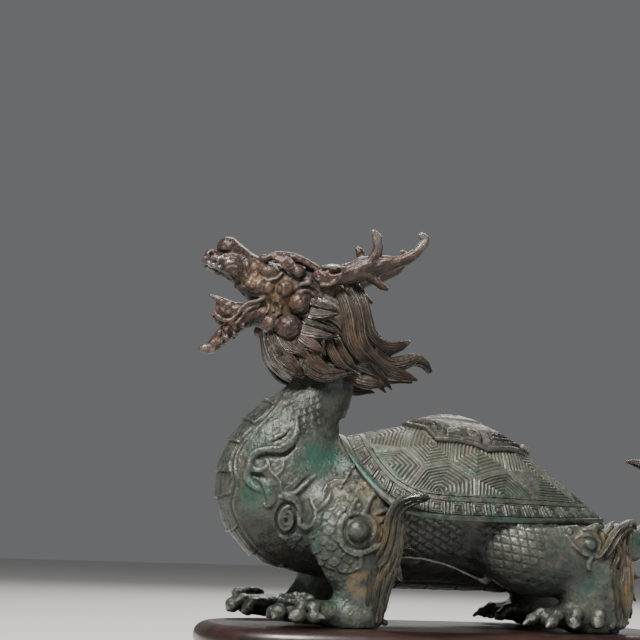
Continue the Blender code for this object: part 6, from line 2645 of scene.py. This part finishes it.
@dataclass(frozen=True)
class Studio:
    """The pale floor, the soft lights and the camera."""

    eye: tuple[float, float, float] = (-0.18063, -0.67629, 0.05416)
    yaw: float = 10.0
    pitch: float = 9.55
    roll: float = 1.7
    lens: float = 78.75
    floor_tone: Colour = (0.74, 0.73, 0.71)

    def camera(self) -> None:
        """The camera: it looks along +Y, turned toward +X, up a little, and rolled."""
        data = bpy.data.cameras.new("camera")
        data.lens, data.sensor_width, data.clip_start = self.lens, 36.0, 0.01
        camera = bpy.data.objects.new("camera", data)
        bpy.context.scene.collection.objects.link(camera)
        yaw, pitch, roll = (math.radians(a) for a in (self.yaw, self.pitch, self.roll))
        ahead = Vector((math.sin(yaw) * math.cos(pitch), math.cos(yaw) * math.cos(pitch), math.sin(pitch)))
        right = Vector((math.cos(yaw), -math.sin(yaw), 0.0))
        up = right.cross(ahead)
        right, up = right * math.cos(roll) + up * math.sin(roll), up * math.cos(roll) - right * math.sin(roll)
        turned = camera.matrix_world.to_3x3()
        for column, way in enumerate((right, up, -ahead)):
            for row in range(3):
                turned[row][column] = way[row]
        camera.matrix_world = turned.to_4x4()
        camera.location = self.eye
        bpy.context.scene.camera = camera

    def light(self, name: str, place: Station, aim: Station, size: float, power: float, tone: Colour) -> None:
        """A square soft light at a place, turned toward an aim.

        Args:
            name: Its name.
            place: Where it stands.
            aim: Where it points.
            size: Its width in metres.
            power: Its power in watts.
            tone: Its colour.
        """
        data = bpy.data.lights.new(name, "AREA")
        data.size, data.energy, data.color = size, power, tone
        lamp = bpy.data.objects.new(name, data)
        bpy.context.scene.collection.objects.link(lamp)
        lamp.location = place
        lamp.rotation_euler = (Vector(aim) - Vector(place)).to_track_quat("-Z", "Y").to_euler()

    def build(self) -> None:
        """Floor, lights, world and camera."""
        board = Board.named("studio_floor")
        finish = board.finished({"Base Color": (*self.floor_tone, 1.0), "Roughness": 0.7})
        mesh = bpy.data.meshes.new("floor")
        mesh.from_pydata([(-6, -6, 0), (6, -6, 0), (6, 6, 0), (-6, 6, 0)], [], [(0, 1, 2, 3)])
        mesh.materials.append(finish)
        floor = bpy.data.objects.new("floor", mesh)
        bpy.context.scene.collection.objects.link(floor)
        target = (0.0, 0.0, 0.1)
        self.light("key", (-0.48, -0.55, 1.0), target, 0.36, 25.0, (1.0, 0.98, 0.95))
        self.light("fill", (0.9, -0.7, 0.5), target, 0.8, 2.0, (0.94, 0.97, 1.0))
        self.light("rim", (0.3, 0.9, 0.9), target, 0.7, 9.0, (1.0, 1.0, 1.0))
        world = bpy.data.worlds.new("studio_world")
        world.use_nodes = True
        world.node_tree.nodes["Background"].inputs["Color"].default_value = (0.9, 0.91, 0.93, 1.0)
        world.node_tree.nodes["Background"].inputs["Strength"].default_value = 0.16
        bpy.context.scene.world = world
        self.camera()


def main() -> None:
    """Builds the pieces in order and reports each."""
    logging.basicConfig(level=logging.INFO, format="%(message)s")
    Studio().build()
    bronze, wood = Bronze().material(), Rosewood().material()
    shell = Shell()
    pieces: list[tuple[str, Callable[[], Skin], int]] = [
        ("bronze_head", Head().skin, 120_000), ("bronze_mane", Mane().skin, 110_000),
        ("bronze_antlers", Antlers().skin, 22_000), ("bronze_shell", shell.skin, 170_000),
        ("bronze_crown_plate", CrownPlate(shell).skin, 40_000), ("bronze_tail", Tail().skin, 20_000),
    ]
    for side, name, step, grain, share in (
        (Side.NEAR, "near", 0.0, 0.46, 1.0), (Side.FAR, "far", 11.0, 0.6, 0.62)
    ):
        pieces.append((
            f"bronze_forequarters_{name}", Forequarters(side, shell, step, grain).skin, int(150_000 * share)
        ))
        pieces.append((
            f"bronze_hindquarters_{name}", Hindquarters(side, shell, grain).skin, int(115_000 * share)
        ))
        pieces.append((f"bronze_leg_hair_{name}", LegHair(side, step).skin, int(34_000 * share)))
    for name, make, most in pieces:
        make().placed(name, STATUE, "patinated_bronze", bronze, most)
    Plinth().skin().placed("rosewood_plinth", STAND, "dark_hardwood", wood, 20_000)


if __name__ == "__main__":
    main()
